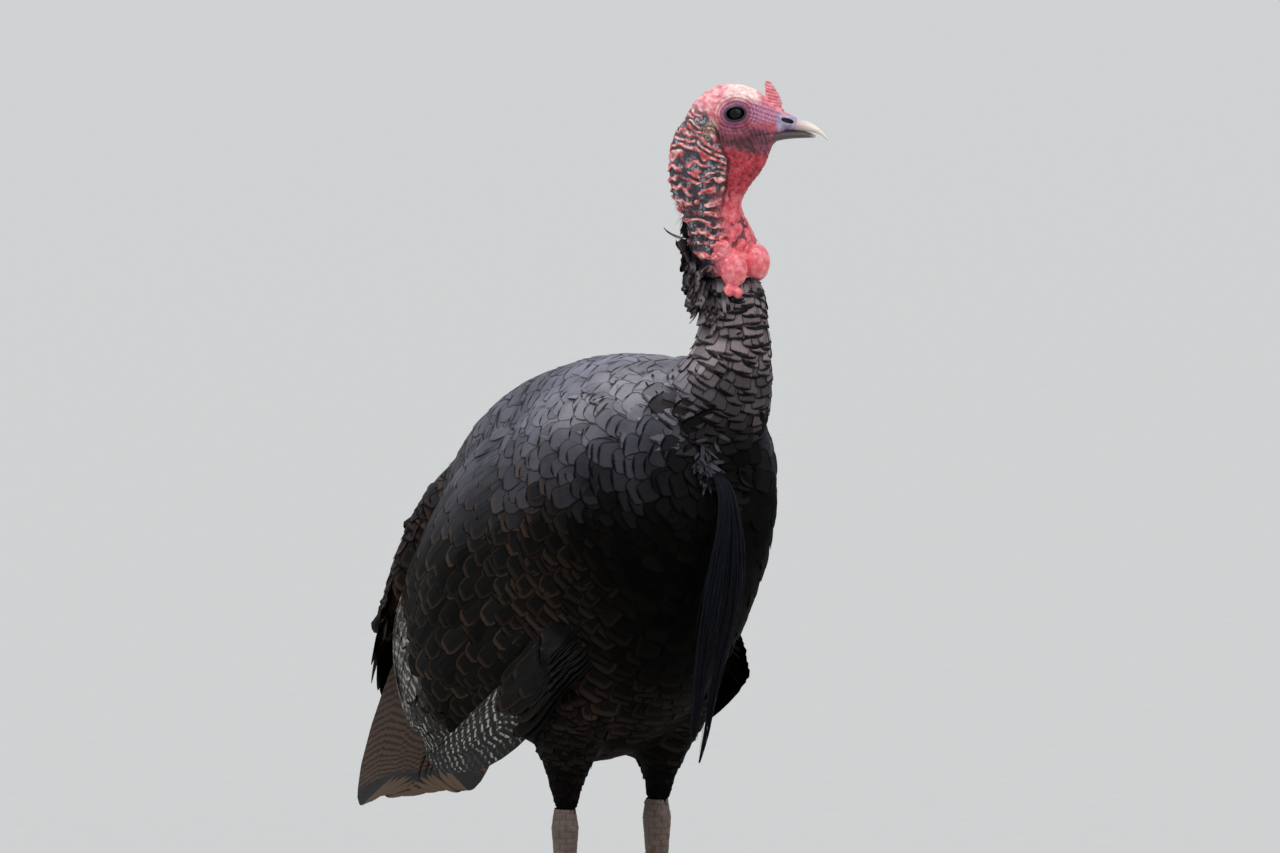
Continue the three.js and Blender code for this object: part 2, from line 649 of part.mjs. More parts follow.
for (const [name, leg] of Object.entries(LEGS)) {
  const hip = limb(mirrored(leg.hip, leg.side));
  const foot = limb(footPlace(leg), leg.heading);
  const wingCutters = [makeWing(leg.side, GAP), makePrimaries(leg.side, GAP)];
  const thighCutter = makeThigh(leg, GAP);
  const shankCutter = makeShank(leg, GAP);
  const thigh = cut(makeThigh(leg), trunkCutter, ...wingCutters, underCovertCutter);
  add(hip, `thigh_${name}`, thigh, COLOURS.plumage);
  add(hip, `shank_${name}`, cut(makeShank(leg), thighCutter), COLOURS.shank, 0.5);
  add(hip, `spur_${name}`, cut(makeSpur(leg), shankCutter), COLOURS.claw, 0.35);
  const earlier = [shankCutter];
  for (const toe of TOES) {
    const solid = cut(makeToe(leg, toe), ...earlier, makeClaw(leg, toe, GAP));
    add(foot, `toe_${name}_${toe.name}`, solid, COLOURS.shank, 0.5);
    add(foot, `claw_${name}_${toe.name}`, makeClaw(leg, toe), COLOURS.claw, 0.35);
    earlier.push(makeToe(leg, toe, GAP));
  }
}

// The bird is moved so that the middle of its base is at the origin, its soles on the floor.
const box = new THREE.Box3().setFromObject(bird, true);
bird.position.set(-(box.min.x + box.max.x) / 2, -(box.min.y + box.max.y) / 2, -box.min.z);
bird.updateMatrixWorld(true);

export default bird;
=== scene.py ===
"""A life-size wild turkey gobbler, dressed over its solids: skin, horn, feathers and bristles.

Working lengths are millimetres in the maker's frame: +X is the way the breast faces, +Y the
bird's left, +Z up, and the floor is z = 0. Meshes are moved into the row frame, in metres, as
they are made.
"""

from __future__ import annotations

import logging
import math
from collections.abc import Callable
from dataclasses import dataclass, field
from enum import Enum

import bpy
import numpy as np
import openvdb as vdb
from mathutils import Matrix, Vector
from mathutils.bvhtree import BVHTree

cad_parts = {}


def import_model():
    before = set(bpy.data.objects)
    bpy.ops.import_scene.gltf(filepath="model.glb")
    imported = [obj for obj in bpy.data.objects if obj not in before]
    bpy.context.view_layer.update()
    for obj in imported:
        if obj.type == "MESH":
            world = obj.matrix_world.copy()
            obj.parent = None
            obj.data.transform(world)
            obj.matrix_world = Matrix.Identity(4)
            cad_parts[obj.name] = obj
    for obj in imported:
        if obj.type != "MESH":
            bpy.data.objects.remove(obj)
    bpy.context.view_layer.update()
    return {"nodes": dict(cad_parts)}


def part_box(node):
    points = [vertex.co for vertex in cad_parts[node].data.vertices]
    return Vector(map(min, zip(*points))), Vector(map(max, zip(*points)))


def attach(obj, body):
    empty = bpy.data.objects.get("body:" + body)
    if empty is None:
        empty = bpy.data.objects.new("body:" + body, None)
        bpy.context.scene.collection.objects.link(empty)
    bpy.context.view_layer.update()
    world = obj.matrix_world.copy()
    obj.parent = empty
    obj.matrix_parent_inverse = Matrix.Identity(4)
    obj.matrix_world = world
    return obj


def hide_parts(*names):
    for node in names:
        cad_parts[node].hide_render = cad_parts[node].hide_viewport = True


log = logging.getLogger("turkey")

MM = 0.001
ATLAS = "OFBake"
PATCH = 0.003  # size of a feather's square on the unwrap of the body
HEAD_YAW = math.radians(50)
EYE_CENTRE = np.array([9.7, 11.6, 810.0])
EYE_RADIUS = 9.3
EYE_SPREAD = 11.3
SIDES = {"right": -1.0, "left": 1.0}
MIDDLE_HEIGHT, REAR, LONG = 430.0, 470.0, 560.0  # the line that the unwrap goes round
LEFT = np.array([0.0, 1.0, 0.0])
HUG_SPAN, ARCH_SPAN = 120.0, 76.0  # half-sizes for which a loft's hug and arch are given
STEP = 0.004  # step along a loft for measuring its pace
CHUNK = 200_000  # points worked on at a time
Array = np.ndarray
Colour = tuple[float, float, float]


class Flow(Enum):
    """Which way feathers point along the loft that they grow on."""

    ONWARD = 1.0
    BACKWARD = -1.0


# ------------------------------------------------------------------ small numeric helpers
def ease(low: float, high: float, x: Array) -> Array:
    """Smooth step of x from 0 at low to 1 at high."""
    t = np.clip((x - low) / (high - low), 0.0, 1.0)
    return t * t * (3.0 - 2.0 * t)


def unit(vectors: Array) -> Array:
    """Vectors scaled to length one along the last axis."""
    return vectors / np.maximum(np.linalg.norm(vectors, axis=-1, keepdims=True), 1e-9)


def soft_min(a: Array, b: Array, blend: float) -> Array:
    """The smaller of two distance fields, with a fillet `blend` wide where they meet."""
    h = np.clip(0.5 + 0.5 * (b - a) / blend, 0.0, 1.0)
    return b + (a - b) * h - blend * h * (1.0 - h)


def soft_max(a: Array, b: Array, blend: float) -> Array:
    """The larger of two distance fields, with a rounded edge."""
    return -soft_min(-a, -b, blend)


def lattice(cells: Array, seed: int) -> Array:
    """A repeatable number from 0 to 1 for each cell of integer coordinates (..., 3).

    Args:
        cells: Integer coordinates of the cells, (..., 3).
        seed: Which set of numbers.

    Returns:
        The numbers.
    """
    c = cells.astype(np.int64).astype(np.uint32)
    h = c[..., 0] * np.uint32(374761393) + c[..., 1] * np.uint32(668265263)
    h = h + c[..., 2] * np.uint32(2246822519) + np.uint32(seed * 3266489917 & 0xFFFFFFFF)
    h = (h ^ (h >> np.uint32(13))) * np.uint32(1274126177)
    return ((h ^ (h >> np.uint32(16))) & np.uint32(0xFFFFFF)) / float(0xFFFFFF)


def noise(points: Array, size: float, seed: int) -> Array:
    """Smooth value noise from -1 to 1 with features about `size` across.

    Args:
        points: Places, (..., 3).
        size: Size of the features.
        seed: Seed of the lattice.

    Returns:
        One number for each place.
    """
    p = points / size
    low = np.floor(p)
    f = p - low
    f = f * f * (3.0 - 2.0 * f)
    total = np.zeros(points.shape[:-1])
    for corner in np.ndindex(2, 2, 2):
        weight = np.prod([f[..., k] if corner[k] else 1.0 - f[..., k] for k in range(3)], axis=0)
        total += weight * lattice(low + np.array(corner), seed)
    return total * 2.0 - 1.0


def domes(points: Array, size: float, seed: int, spread: float = 0.78) -> Array:
    """Rounded lumps about `size` apart, from 0 in the creases to 1 on top.

    Args:
        points: Places, (..., 3).
        size: Distance between the lumps.
        seed: Seed of the lattice.
        spread: Radius of a lump, in that distance.

    Returns:
        One height for each place.
    """
    p = points / size
    low = np.floor(p)
    near = np.full(points.shape[:-1], 9.0)
    for corner in np.ndindex(3, 3, 3):
        cell = low + np.array(corner) - 1.0
        jitter = np.stack([lattice(cell, seed + 7 * k) for k in range(3)], axis=-1)
        near = np.minimum(near, np.linalg.norm(cell + jitter - p, axis=-1))
    return np.sqrt(np.clip(1.0 - (near / spread) ** 2, 0.0, 1.0))


def between(table: Array, place: Array) -> Array:
    """Catmull-Rom between a table's rows, at places counted in rows.

    Args:
        table: Rows of numbers.
        place: Places, counted in rows.

    Returns:
        One row for each place.
    """
    last = len(table) - 1
    i = np.minimum(place.astype(int), last - 1)
    t = (place - i)[..., None]
    a, b, c, d = (table[np.clip(i + k, 0, last)] for k in (-1, 0, 1, 2))
    bend = (2 * a - 5 * b + 4 * c - d) * t**2 + (3 * (b - c) + d - a) * t**3
    return b + 0.5 * ((c - a) * t + bend)


def blend(ends: tuple[float, float], share: Array | float) -> Array | float:
    """From the first of two numbers at share 0 to the second at 1."""
    return ends[0] + (ends[1] - ends[0]) * share


def dot(a: Array, b: Array) -> Array:
    """Row by row dot products."""
    return np.einsum("ij,ij->i", a, b)


def scatter(draw: np.random.Generator, count: int) -> Array:
    """Normal random numbers, held within 2."""
    return draw.standard_normal(count).clip(-2, 2)


def heading(yaw: Array | float) -> Array:
    """The level unit vector that points `yaw` radians to the left of +X."""
    yaw = np.asarray(yaw, dtype=float)
    return np.stack([np.cos(yaw), np.sin(yaw), np.zeros_like(yaw)], axis=-1)


def turned(points: Array, yaw: Array | float) -> Array:
    """Points turned by `yaw` radians to the left.

    Args:
        points: Places, (..., 3).
        yaw: One angle, or one for each place.

    Returns:
        The turned places.
    """
    c, s = np.cos(yaw), np.sin(yaw)
    x, y = points[..., 0], points[..., 1]
    return np.stack([x * c - y * s, x * s + y * c, points[..., 2]], axis=-1)


def from_head(points: Array) -> Array:
    """Points of the head's frame (x forward, y left, z up from between the eyes) as maker's."""
    return turned(points, HEAD_YAW) + EYE_CENTRE


def to_head(points: Array) -> Array:
    """Maker's points in the head's frame."""
    return turned(points - EYE_CENTRE, -HEAD_YAW)


# ------------------------------------------------------------------ lofts
@dataclass(frozen=True)
class Loft:
    """A skin through stations, each a centre, a side and an up direction, and half-sizes.

    Columns of `table`: centre (3), side (3), up (3), half-width, reach up, reach down, power.
    """

    table: Array
    hug: float = 0.0
    arch: float = 0.0

    @classmethod
    def fan(cls, rows: list[tuple[float, ...]]) -> "Loft":
        """Stations from (back x, back z, belly x, belly z, half-width, widest share).

        Args:
            rows: One row for each station.

        Returns:
            The loft.
        """
        r = np.array(rows)
        line = np.stack([r[:, 0] - r[:, 2], 0 * r[:, 0], r[:, 1] - r[:, 3]], axis=1)
        tall = np.linalg.norm(line, axis=1)
        at = np.stack([r[:, 2], 0 * r[:, 0], r[:, 3]], axis=1) + line * r[:, 5:6]
        sizes = np.stack([r[:, 4], tall * (1 - r[:, 5]), tall * r[:, 5], 0 * tall + 2.2], axis=1)
        return cls(np.hstack([at, np.tile(LEFT, (len(r), 1)), unit(line), sizes]))

    @classmethod
    def level(cls, rows: list[tuple[float, ...]]) -> "Loft":
        """Level stations from (x, y, z, yaw, front, back, half-width).

        Args:
            rows: One row for each station.

        Returns:
            The loft.
        """
        r = np.array(rows)
        sizes = np.stack([r[:, 6], r[:, 4], r[:, 5], 0 * r[:, 0] + 2.0], axis=1)
        return cls(np.hstack([r[:, :3], heading(r[:, 3] + math.pi / 2), heading(r[:, 3]), sizes]))

    @classmethod
    def flat(cls, rows: list[tuple[float, ...]], arch: float = 12.0) -> "Loft":
        """Stations lying across the tail, from (x, y, z, slope, half-width, top, bottom).

        Args:
            rows: One row for each station.
            arch: How far the skin drops ARCH_SPAN away from its middle.

        Returns:
            The loft.
        """
        r = np.array(rows)
        up = np.stack([-np.sin(r[:, 3]), 0 * r[:, 0], np.cos(r[:, 3])], axis=1)
        sizes = np.stack([r[:, 4], r[:, 5], r[:, 6], 0 * r[:, 0] + 2.5], axis=1)
        return cls(np.hstack([r[:, :3], np.tile(LEFT, (len(r), 1)), up, sizes]), arch=arch)

    @classmethod
    def lens(cls, rows: tuple[tuple[float, ...], ...], side: float, hug: float) -> "Loft":
        """Lenses on edge, from (upper x, upper z, lower x, lower z, out, half-thickness).

        Args:
            rows: One row for each station.
            side: 1 on the left, -1 on the right.
            hug: How far the skin bends inwards HUG_SPAN away from its middle.

        Returns:
            The loft.
        """
        r = np.array(rows, dtype=float)
        line = np.stack([r[:, 0] - r[:, 2], 0 * r[:, 0], r[:, 1] - r[:, 3]], axis=1)
        half = np.linalg.norm(line, axis=1) / 2
        at = np.stack([(r[:, 0] + r[:, 2]) / 2, side * r[:, 4], (r[:, 1] + r[:, 3]) / 2], axis=1)
        sizes = np.stack([r[:, 5], half, half, 0 * half + 2.0], axis=1)
        return cls(np.hstack([at, np.tile(LEFT, (len(r), 1)), unit(line), sizes]), hug=side * hug)

    @classmethod
    def limb(cls, start: Array, end: Array, depths: list[float], flatness: float) -> "Loft":
        """Round stations along a straight line, from a list of half-depths.

        Args:
            start: Its first end.
            end: Its other end.
            depths: Half-depths, spaced evenly along it.
            flatness: Half-width as a share of the half-depth.

        Returns:
            The loft.
        """
        along = unit(end - start)
        side = LEFT if abs(along[2]) > 0.9 else unit(np.cross([0, 0, 1], along))
        up = unit(np.cross(along, side))
        rows = []
        for i, deep in enumerate(depths):
            at = start + (end - start) * i / (len(depths) - 1)
            rows.append(np.hstack([at, side, up, [deep * flatness, deep, deep, 2.0]]))
        return cls(np.array(rows))

    def stations(self, s: Array) -> Array:
        """The table's columns at places along the loft; s runs from 0 to 1."""
        return between(self.table, np.clip(s, 0.0, 1.0) * (len(self.table) - 1))

    def point(self, s: Array, angle: Array, out: float | Array = 0.0) -> Array:
        """A point on the skin, `out` beyond it, at s along and `angle` round from the side.

        Args:
            s: Places along, from 0 to 1.
            angle: Angles round, in radians.
            out: Distance beyond the skin.

        Returns:
            The points, (..., 3).
        """
        q = self.stations(s)
        c, sn = np.cos(angle), np.sin(angle)
        power = 2.0 / q[..., 12]
        reach = np.where(sn > 0, q[..., 10], q[..., 11]) + out
        u = np.sign(c) * np.abs(c) ** power * (q[..., 9] + out)
        v = np.sign(sn) * np.abs(sn) ** power * reach
        u_all = u - self.hug * (v / HUG_SPAN) ** 2
        v_all = v - self.arch * (u / ARCH_SPAN) ** 2
        return q[..., :3] + q[..., 3:6] * u_all[..., None] + q[..., 6:9] * v_all[..., None]

    def shell(
        self, rings: int, points: int, out: float = 0.0, span: tuple[float, float] = (0.0, 1.0)
    ) -> "Shell":
        """A closed mesh of the loft, or of a span of it.

        Args:
            rings: How many rings.
            points: How many points in each ring.
            out: Distance beyond the skin.
            span: First and last place along.

        Returns:
            The shell.
        """
        s = np.linspace(span[0], span[1], rings)
        angle = np.linspace(0.0, 2 * np.pi, points, endpoint=False)
        return Shell.tube(self.point(s[:, None] + 0 * angle, angle[None, :] + 0 * s[:, None], out))

    def pace(self, s: Array, angle: Array) -> Array:
        """How far a point moves for a unit of s."""
        ahead = self.point(s + STEP, angle) - self.point(s - STEP, angle)
        return np.linalg.norm(ahead, axis=-1) / (2 * STEP)


# ------------------------------------------------------------------ meshes from arrays
def linked(name: str, data: bpy.types.ID) -> bpy.types.Object:
    """A new object with the given data, linked to the scene.

    Args:
        name: Name of the object.
        data: Its mesh, light or camera.

    Returns:
        The object.
    """
    made = bpy.data.objects.new(name, data)
    bpy.context.scene.collection.objects.link(made)
    return made


def stacked_marks(several: list[tuple[dict[str, Array], int]]) -> dict[str, Array]:
    """The marks of several meshes or beds, given with their counts, end to end.

    Args:
        several: The marks of each one, with its count.

    Returns:
        One array for each mark; it is 0 where a mesh or bed lacks the mark.
    """
    names = sorted({name for marks, _ in several for name in marks})
    return {
        name: np.concatenate([marks.get(name, np.zeros(count)) for marks, count in several]) for name in names
    }


@dataclass
class Shell:
    """Points, faces and per-point numbers of a mesh in the making."""

    points: Array
    faces: list[Array] = field(default_factory=list)
    marks: dict[str, Array] = field(default_factory=dict)
    patches: Array | None = None

    @classmethod
    def tube(cls, grid: Array) -> "Shell":
        """A closed tube from rings of points, (rings, points, 3), its ends fanned shut.

        Args:
            grid: The rings' points.

        Returns:
            The shell.
        """
        rings, around = grid.shape[:2]
        index = np.arange(rings * around).reshape(rings, around)
        right = np.roll(index, -1, axis=1)
        quads = np.stack([index[:-1], right[:-1], right[1:], index[1:]], axis=-1).reshape(-1, 4)
        first, last = np.full(around, rings * around), np.full(around, rings * around + 1)
        caps = [np.stack(cap, axis=1) for cap in ((right[0], index[0], first), (index[-1], right[-1], last))]
        return cls(np.vstack([grid.reshape(-1, 3), grid[[0, -1]].mean(axis=1)]), [quads, *caps])

    @classmethod
    def joined(cls, shells: list["Shell"]) -> "Shell":
        """Several shells as one; marks that a shell lacks are 0 there.

        Args:
            shells: The shells.

        Returns:
            The one shell.
        """
        offset, faces = 0, []
        for shell in shells:
            faces += [f + offset for f in shell.faces]
            offset += len(shell.points)
        marks = stacked_marks([(shell.marks, len(shell.points)) for shell in shells])
        patches = [s.patches for s in shells]
        patched = all(patch is not None for patch in patches)
        return cls(
            np.vstack([s.points for s in shells]), faces, marks, np.vstack(patches) if patched else None
        )

    def outward(self) -> "Shell":
        """The same closed shell with its faces turned outwards.

        Returns:
            This shell.
        """
        volume = 0.0
        for face in self.faces:
            a, b, c = (self.points[face[:, k]] for k in range(3))
            volume += np.einsum("ij,ij->", a, np.cross(b, c))
            if face.shape[1] == 4:
                d = self.points[face[:, 3]]
                volume += np.einsum("ij,ij->", a, np.cross(c, d))
        if volume < 0:
            self.faces = [face[:, ::-1] for face in self.faces]
        return self

    def to_object(self, name: str, offset: Array, materials: list[bpy.types.Material]) -> bpy.types.Object:
        """Makes the Blender object, in metres, in the row frame, shaded smooth.

        Args:
            name: Name of the object and of its mesh.
            offset: From the maker's frame to the row frame, in millimetres.
            materials: One, or several that the mark "slot" picks from.

        Returns:
            The new object, linked to the scene.
        """
        mesh = bpy.data.meshes.new(name)
        loops = np.concatenate([face.ravel() for face in self.faces]).astype(np.int32)
        sizes = np.concatenate([np.full(len(face), face.shape[1]) for face in self.faces])
        starts = np.concatenate([[0], np.cumsum(sizes)[:-1]]).astype(np.int32)
        mesh.vertices.add(len(self.points))
        mesh.vertices.foreach_set("co", ((self.points + offset) * MM).astype(np.float32).ravel())
        mesh.loops.add(len(loops))
        mesh.loops.foreach_set("vertex_index", loops)
        mesh.polygons.add(len(starts))
        mesh.polygons.foreach_set("loop_start", starts)
        mesh.update(calc_edges=True)
        mesh.polygons.foreach_set("use_smooth", np.ones(len(starts), dtype=bool))
        for material in materials:
            mesh.materials.append(material)
        for mark, numbers in self.marks.items():
            if mark == "slot":
                mesh.polygons.foreach_set("material_index", numbers[loops[starts]].astype(np.int32))
            elif mark == "brim":
                ends = np.empty(2 * len(mesh.edges), dtype=np.int32)
                mesh.edges.foreach_get("vertices", ends)
                crisp = (numbers[ends.reshape(-1, 2)] > 0.5).all(axis=1)
                mesh.attributes.new("sharp_edge", "BOOLEAN", "EDGE").data.foreach_set("value", crisp)
            else:
                layer = mesh.attributes.new(mark, "FLOAT", "POINT")
                layer.data.foreach_set("value", numbers.astype(np.float32))
        if self.patches is not None:
            layer = mesh.uv_layers.new(name=ATLAS)
            layer.data.foreach_set("uv", self.patches[loops].astype(np.float32).ravel())
        mesh.validate()
        mesh.update()
        return linked(name, mesh)


def surface_net(values: Array, low: Array, step: float) -> Shell:
    """The zero surface of a field on a regular grid, as a mesh of quads.

    Args:
        values: Signed distances on the grid, negative inside, (nx, ny, nz).
        low: Place of the grid's first corner.
        step: Grid spacing.

    Returns:
        A closed shell, its faces outward, where the surface stays clear of the grid's edge.
    """
    inside = values < 0
    corners = list(np.ndindex(2, 2, 2))
    n = np.array(values.shape) - 1
    count = np.zeros(n, dtype=np.int8)
    for c in corners:
        count += inside[c[0] : c[0] + n[0], c[1] : c[1] + n[1], c[2] : c[2] + n[2]]
    crossed = np.argwhere((count > 0) & (count < 8))
    order = np.full(n, -1, dtype=np.int64)
    order[tuple(crossed.T)] = np.arange(len(crossed))
    total = np.zeros((len(crossed), 3))
    hits = np.zeros(len(crossed))
    for axis in range(3):
        for c in corners:
            if c[axis]:
                continue
            start = crossed + np.array(c)
            end = start.copy()
            end[:, axis] += 1
            a, b = values[tuple(start.T)], values[tuple(end.T)]
            cut = (a < 0) != (b < 0)
            total += np.where(cut[:, None], start, 0.0)
            total[:, axis] += np.where(cut, a / np.where(cut, a - b, 1.0), 0.0)
            hits += cut
    quads = []
    for axis in range(3):
        b, c = (axis + 1) % 3, (axis + 2) % 3
        edge = np.diff(inside, axis=axis)
        starts = np.argwhere(edge)
        keep = (starts[:, b] > 0) & (starts[:, c] > 0) & (starts[:, b] < n[b]) & (starts[:, c] < n[c])
        starts = starts[keep]
        ring = []
        for db, dc in ((0, 0), (1, 0), (1, 1), (0, 1)):
            cell = starts.copy()
            cell[:, b] -= db
            cell[:, c] -= dc
            ring.append(order[tuple(cell.T)])
        quad = np.stack(ring, axis=1)
        flip = ~inside[tuple(starts.T)]
        quad[flip] = quad[flip][:, ::-1]
        quads.append(quad[(quad >= 0).all(axis=1)])
    return Shell(low + step * total / hits[:, None], [np.vstack(quads)])


# ------------------------------------------------------------------ shader graphs
def operation(kind: str, reflected: bool = False) -> Callable[..., "Value"]:
    """An arithmetic method of Value, which adds one Math node.

    Args:
        kind: The node's operation.
        reflected: Whether the other number comes first.

    Returns:
        The method.
    """

    def method(self: "Value", *others: object) -> "Value":
        """One Math node over this number and the others."""
        inputs = (*others, self) if reflected else (self, *others)
        return self.graph.value("ShaderNodeMath", {"operation": kind}, dict(enumerate(inputs)))

    return method


@dataclass
class Value:
    """A number in a shader graph; arithmetic on it adds Math nodes."""

    graph: "Graph"
    socket: bpy.types.NodeSocket

    __add__ = operation("ADD")
    __radd__ = operation("ADD", reflected=True)
    __sub__ = operation("SUBTRACT")
    __rsub__ = operation("SUBTRACT", reflected=True)
    __mul__ = operation("MULTIPLY")
    __rmul__ = operation("MULTIPLY", reflected=True)
    __abs__ = operation("ABSOLUTE")
    sin = operation("SINE")

    def clip(self) -> "Value":
        """Held between 0 and 1."""
        return self.graph.value("ShaderNodeMath", {"operation": "ADD", "use_clamp": True}, {0: self, 1: 0.0})

    def ramp(self, low: float, high: float) -> "Value":
        """Smooth rise from 0 at low to 1 at high, held between them; low may be the larger.

        Args:
            low: Number at which the rise starts.
            high: Number at which it ends.

        Returns:
            The risen share.
        """
        if low > high:
            return 1.0 - self.ramp(high, low)
        settings = {"interpolation_type": "SMOOTHSTEP", "clamp": True}
        sockets = {"Value": self, "From Min": low, "From Max": high}
        return self.graph.value("ShaderNodeMapRange", settings, sockets)


class Graph:
    """A material and the nodes in it."""

    def __init__(self, name: str) -> None:
        """Starts an empty node material of that name.

        Args:
            name: Name of the material.
        """
        self.material = bpy.data.materials.new(name)
        self.material.use_nodes = True
        self.tree = self.material.node_tree
        self.tree.nodes.clear()

    def node(self, kind: str, settings: dict[str, object], sockets: dict[object, object]) -> bpy.types.Node:
        """Adds a node, gives it its settings and then its socket values or links.

        Args:
            kind: Blender's type name of the node.
            settings: Properties of the node.
            sockets: Values or links, by socket name or number.

        Returns:
            The node.
        """
        made = self.tree.nodes.new(kind)
        for key, setting in settings.items():
            setattr(made, key, setting)
        for key, given in sockets.items():
            socket = made.inputs[key]
            source = given.socket if isinstance(given, Value) else given
            if isinstance(source, bpy.types.NodeSocket):
                self.tree.links.new(source, socket)
            elif isinstance(source, tuple) and socket.type == "RGBA":
                socket.default_value = (*source, 1.0)
            else:
                socket.default_value = source
        return made

    def value(self, kind: str, settings: dict[str, object], sockets: dict[object, object]) -> Value:
        """The first output of a new node, as a number."""
        return Value(self, self.node(kind, settings, sockets).outputs[0])

    def mark(self, name: str) -> Value:
        """A mesh's own number, by name."""
        return Value(self, self.node("ShaderNodeAttribute", {"attribute_name": name}, {}).outputs["Fac"])

    def noise(self, scale: float, detail: float, stretch: tuple[float, ...] | None = None) -> Value:
        """Noise of the given scale over the object, which may be stretched along its axes.

        Args:
            scale: Scale of the noise.
            detail: How many octaves it adds.
            stretch: Factors for the object's axes.

        Returns:
            The noise, about 0.5.
        """
        place = self.node("ShaderNodeTexCoord", {}, {}).outputs["Object"]
        if stretch:
            sockets = {0: place, 1: stretch}
            place = self.node("ShaderNodeVectorMath", {"operation": "MULTIPLY"}, sockets).outputs[0]
        sockets = {"Vector": place, "Scale": scale, "Detail": detail, "Roughness": 0.55}
        return self.value("ShaderNodeTexNoise", {}, sockets)

    def mix(self, share: object, a: object, b: object) -> bpy.types.NodeSocket:
        """Colour a where share is 0 and b where it is 1."""
        settings = {"data_type": "RGBA", "clamp_factor": True}
        return self.node("ShaderNodeMix", settings, {0: share, 6: a, 7: b}).outputs[2]

    def layered(self, colour: object, *layers: tuple[object, object]) -> bpy.types.NodeSocket:
        """A colour with others laid over it, each one by its share.

        Args:
            colour: The colour underneath.
            layers: A share and a colour for each one laid over it.

        Returns:
            The colour's socket.
        """
        for share, tone in layers:
            colour = self.mix(share, colour, tone)
        return colour

    def shade(self, colour: object, amount: object) -> bpy.types.NodeSocket:
        """A colour multiplied by a number."""
        grey = self.node("ShaderNodeCombineXYZ", {}, {0: amount, 1: amount, 2: amount}).outputs[0]
        return self.node("ShaderNodeVectorMath", {"operation": "MULTIPLY"}, {0: colour, 1: grey}).outputs[0]

    def barbs(self, run: Value, gap: float) -> Value:
        """Fine waves from 0 to 1, `gap` millimetres apart along a feather."""
        return (run * (2 * math.pi / gap)).sin() * 0.5 + 0.5

    def bump(self, height: Value, depth: float, strength: float = 1.0) -> bpy.types.NodeSocket:
        """A normal bent by a height from 0 to 1 that is `depth` metres deep."""
        sockets = {"Strength": strength, "Distance": depth, "Height": height}
        return self.node("ShaderNodeBump", {}, sockets).outputs[0]

    def finish(self, **sockets: object) -> bpy.types.Material:
        """Ends the graph in a Principled shader; keys are its socket names with _ for spaces.

        Args:
            sockets: A number, colour or socket for each.

        Returns:
            The material.
        """
        named = {key.replace("_", " "): given for key, given in sockets.items()}
        shader = self.node("ShaderNodeBsdfPrincipled", {}, named)
        self.node("ShaderNodeOutputMaterial", {}, {"Surface": shader.outputs[0]})
        return self.material


# ------------------------------------------------------------------ room
@dataclass
class Room:
    """Pale floor, soft light and the camera; a sun's numbers are azimuth, elevation, spread and power."""

    aim: tuple[float, float, float] = (-45.0, -54.0, 527.0)
    azimuth: float = 50.0
    elevation: float = 5.0
    distance: float = 9.0
    lens: float = 281.0
    sensor: float = 36.0
    far: float = 100.0
    suns: tuple[tuple[float, float, float, float], ...] = ((-35.0, 62.0, 55.0, 2.3), (95.0, 35.0, 60.0, 0.9))
    sky: Colour = (0.86, 0.92, 1.0)
    glow: float = 0.75
    floor_half: float = 30.0
    floor: tuple[Colour, Colour] = ((0.40, 0.395, 0.38), (0.43, 0.425, 0.41))

    def direction(self, azimuth: float, elevation: float) -> Vector:
        """The way from the bird towards an azimuth and elevation, in degrees."""
        a, e = math.radians(azimuth), math.radians(elevation)
        return Vector((math.sin(a) * math.cos(e), -math.cos(a) * math.cos(e), math.sin(e)))

    def build(self, offset: Array) -> None:
        """Adds all of it; `offset` leads from the maker's frame to the row frame, in millimetres.

        Args:
            offset: From the maker's frame to the row frame, in millimetres.
        """
        bpy.context.scene.view_settings.view_transform = "Standard"
        self.add_camera(Vector(tuple((np.array(self.aim) + offset) * MM)))
        self.add_lamps()
        self.add_floor()
        self.add_world()

    def add_camera(self, target: Vector) -> None:
        """The camera, looking at the target.

        Args:
            target: What it looks at, in metres.
        """
        data = bpy.data.cameras.new("camera")
        data.lens = self.lens
        data.sensor_width = self.sensor
        data.clip_end = self.far
        camera = linked("camera", data)
        back = self.direction(self.azimuth, self.elevation)
        camera.location = target + back * self.distance
        camera.rotation_euler = back.to_track_quat("Z", "Y").to_euler()
        bpy.context.scene.camera = camera

    def add_lamps(self) -> None:
        """Wide soft suns."""
        for i, (azimuth, elevation, spread, power) in enumerate(self.suns):
            data = bpy.data.lights.new(f"sun_{i}", "SUN")
            data.angle = math.radians(spread)
            data.energy = power
            lamp = linked(f"sun_{i}", data)
            lamp.rotation_euler = self.direction(azimuth, elevation).to_track_quat("Z", "Y").to_euler()

    def add_floor(self) -> None:
        """A wide pale floor at z = 0."""
        half = self.floor_half
        mesh = bpy.data.meshes.new("floor")
        corners = [(-half, -half, 0), (half, -half, 0), (half, half, 0), (-half, half, 0)]
        mesh.from_pydata(corners, [], [(0, 1, 2, 3)])
        floor = linked("floor", mesh)
        graph = Graph("pale_floor")
        tone = graph.mix(graph.noise(40.0, 4.0), *self.floor)
        mesh.materials.append(graph.finish(Base_Color=tone, Roughness=0.9))

    def add_world(self) -> None:
        """Even pale light from all round."""
        world = bpy.data.worlds.new("world")
        world.use_nodes = True
        background = world.node_tree.nodes["Background"]
        background.inputs["Color"].default_value = (*self.sky, 1.0)
        background.inputs["Strength"].default_value = self.glow
        bpy.context.scene.world = world


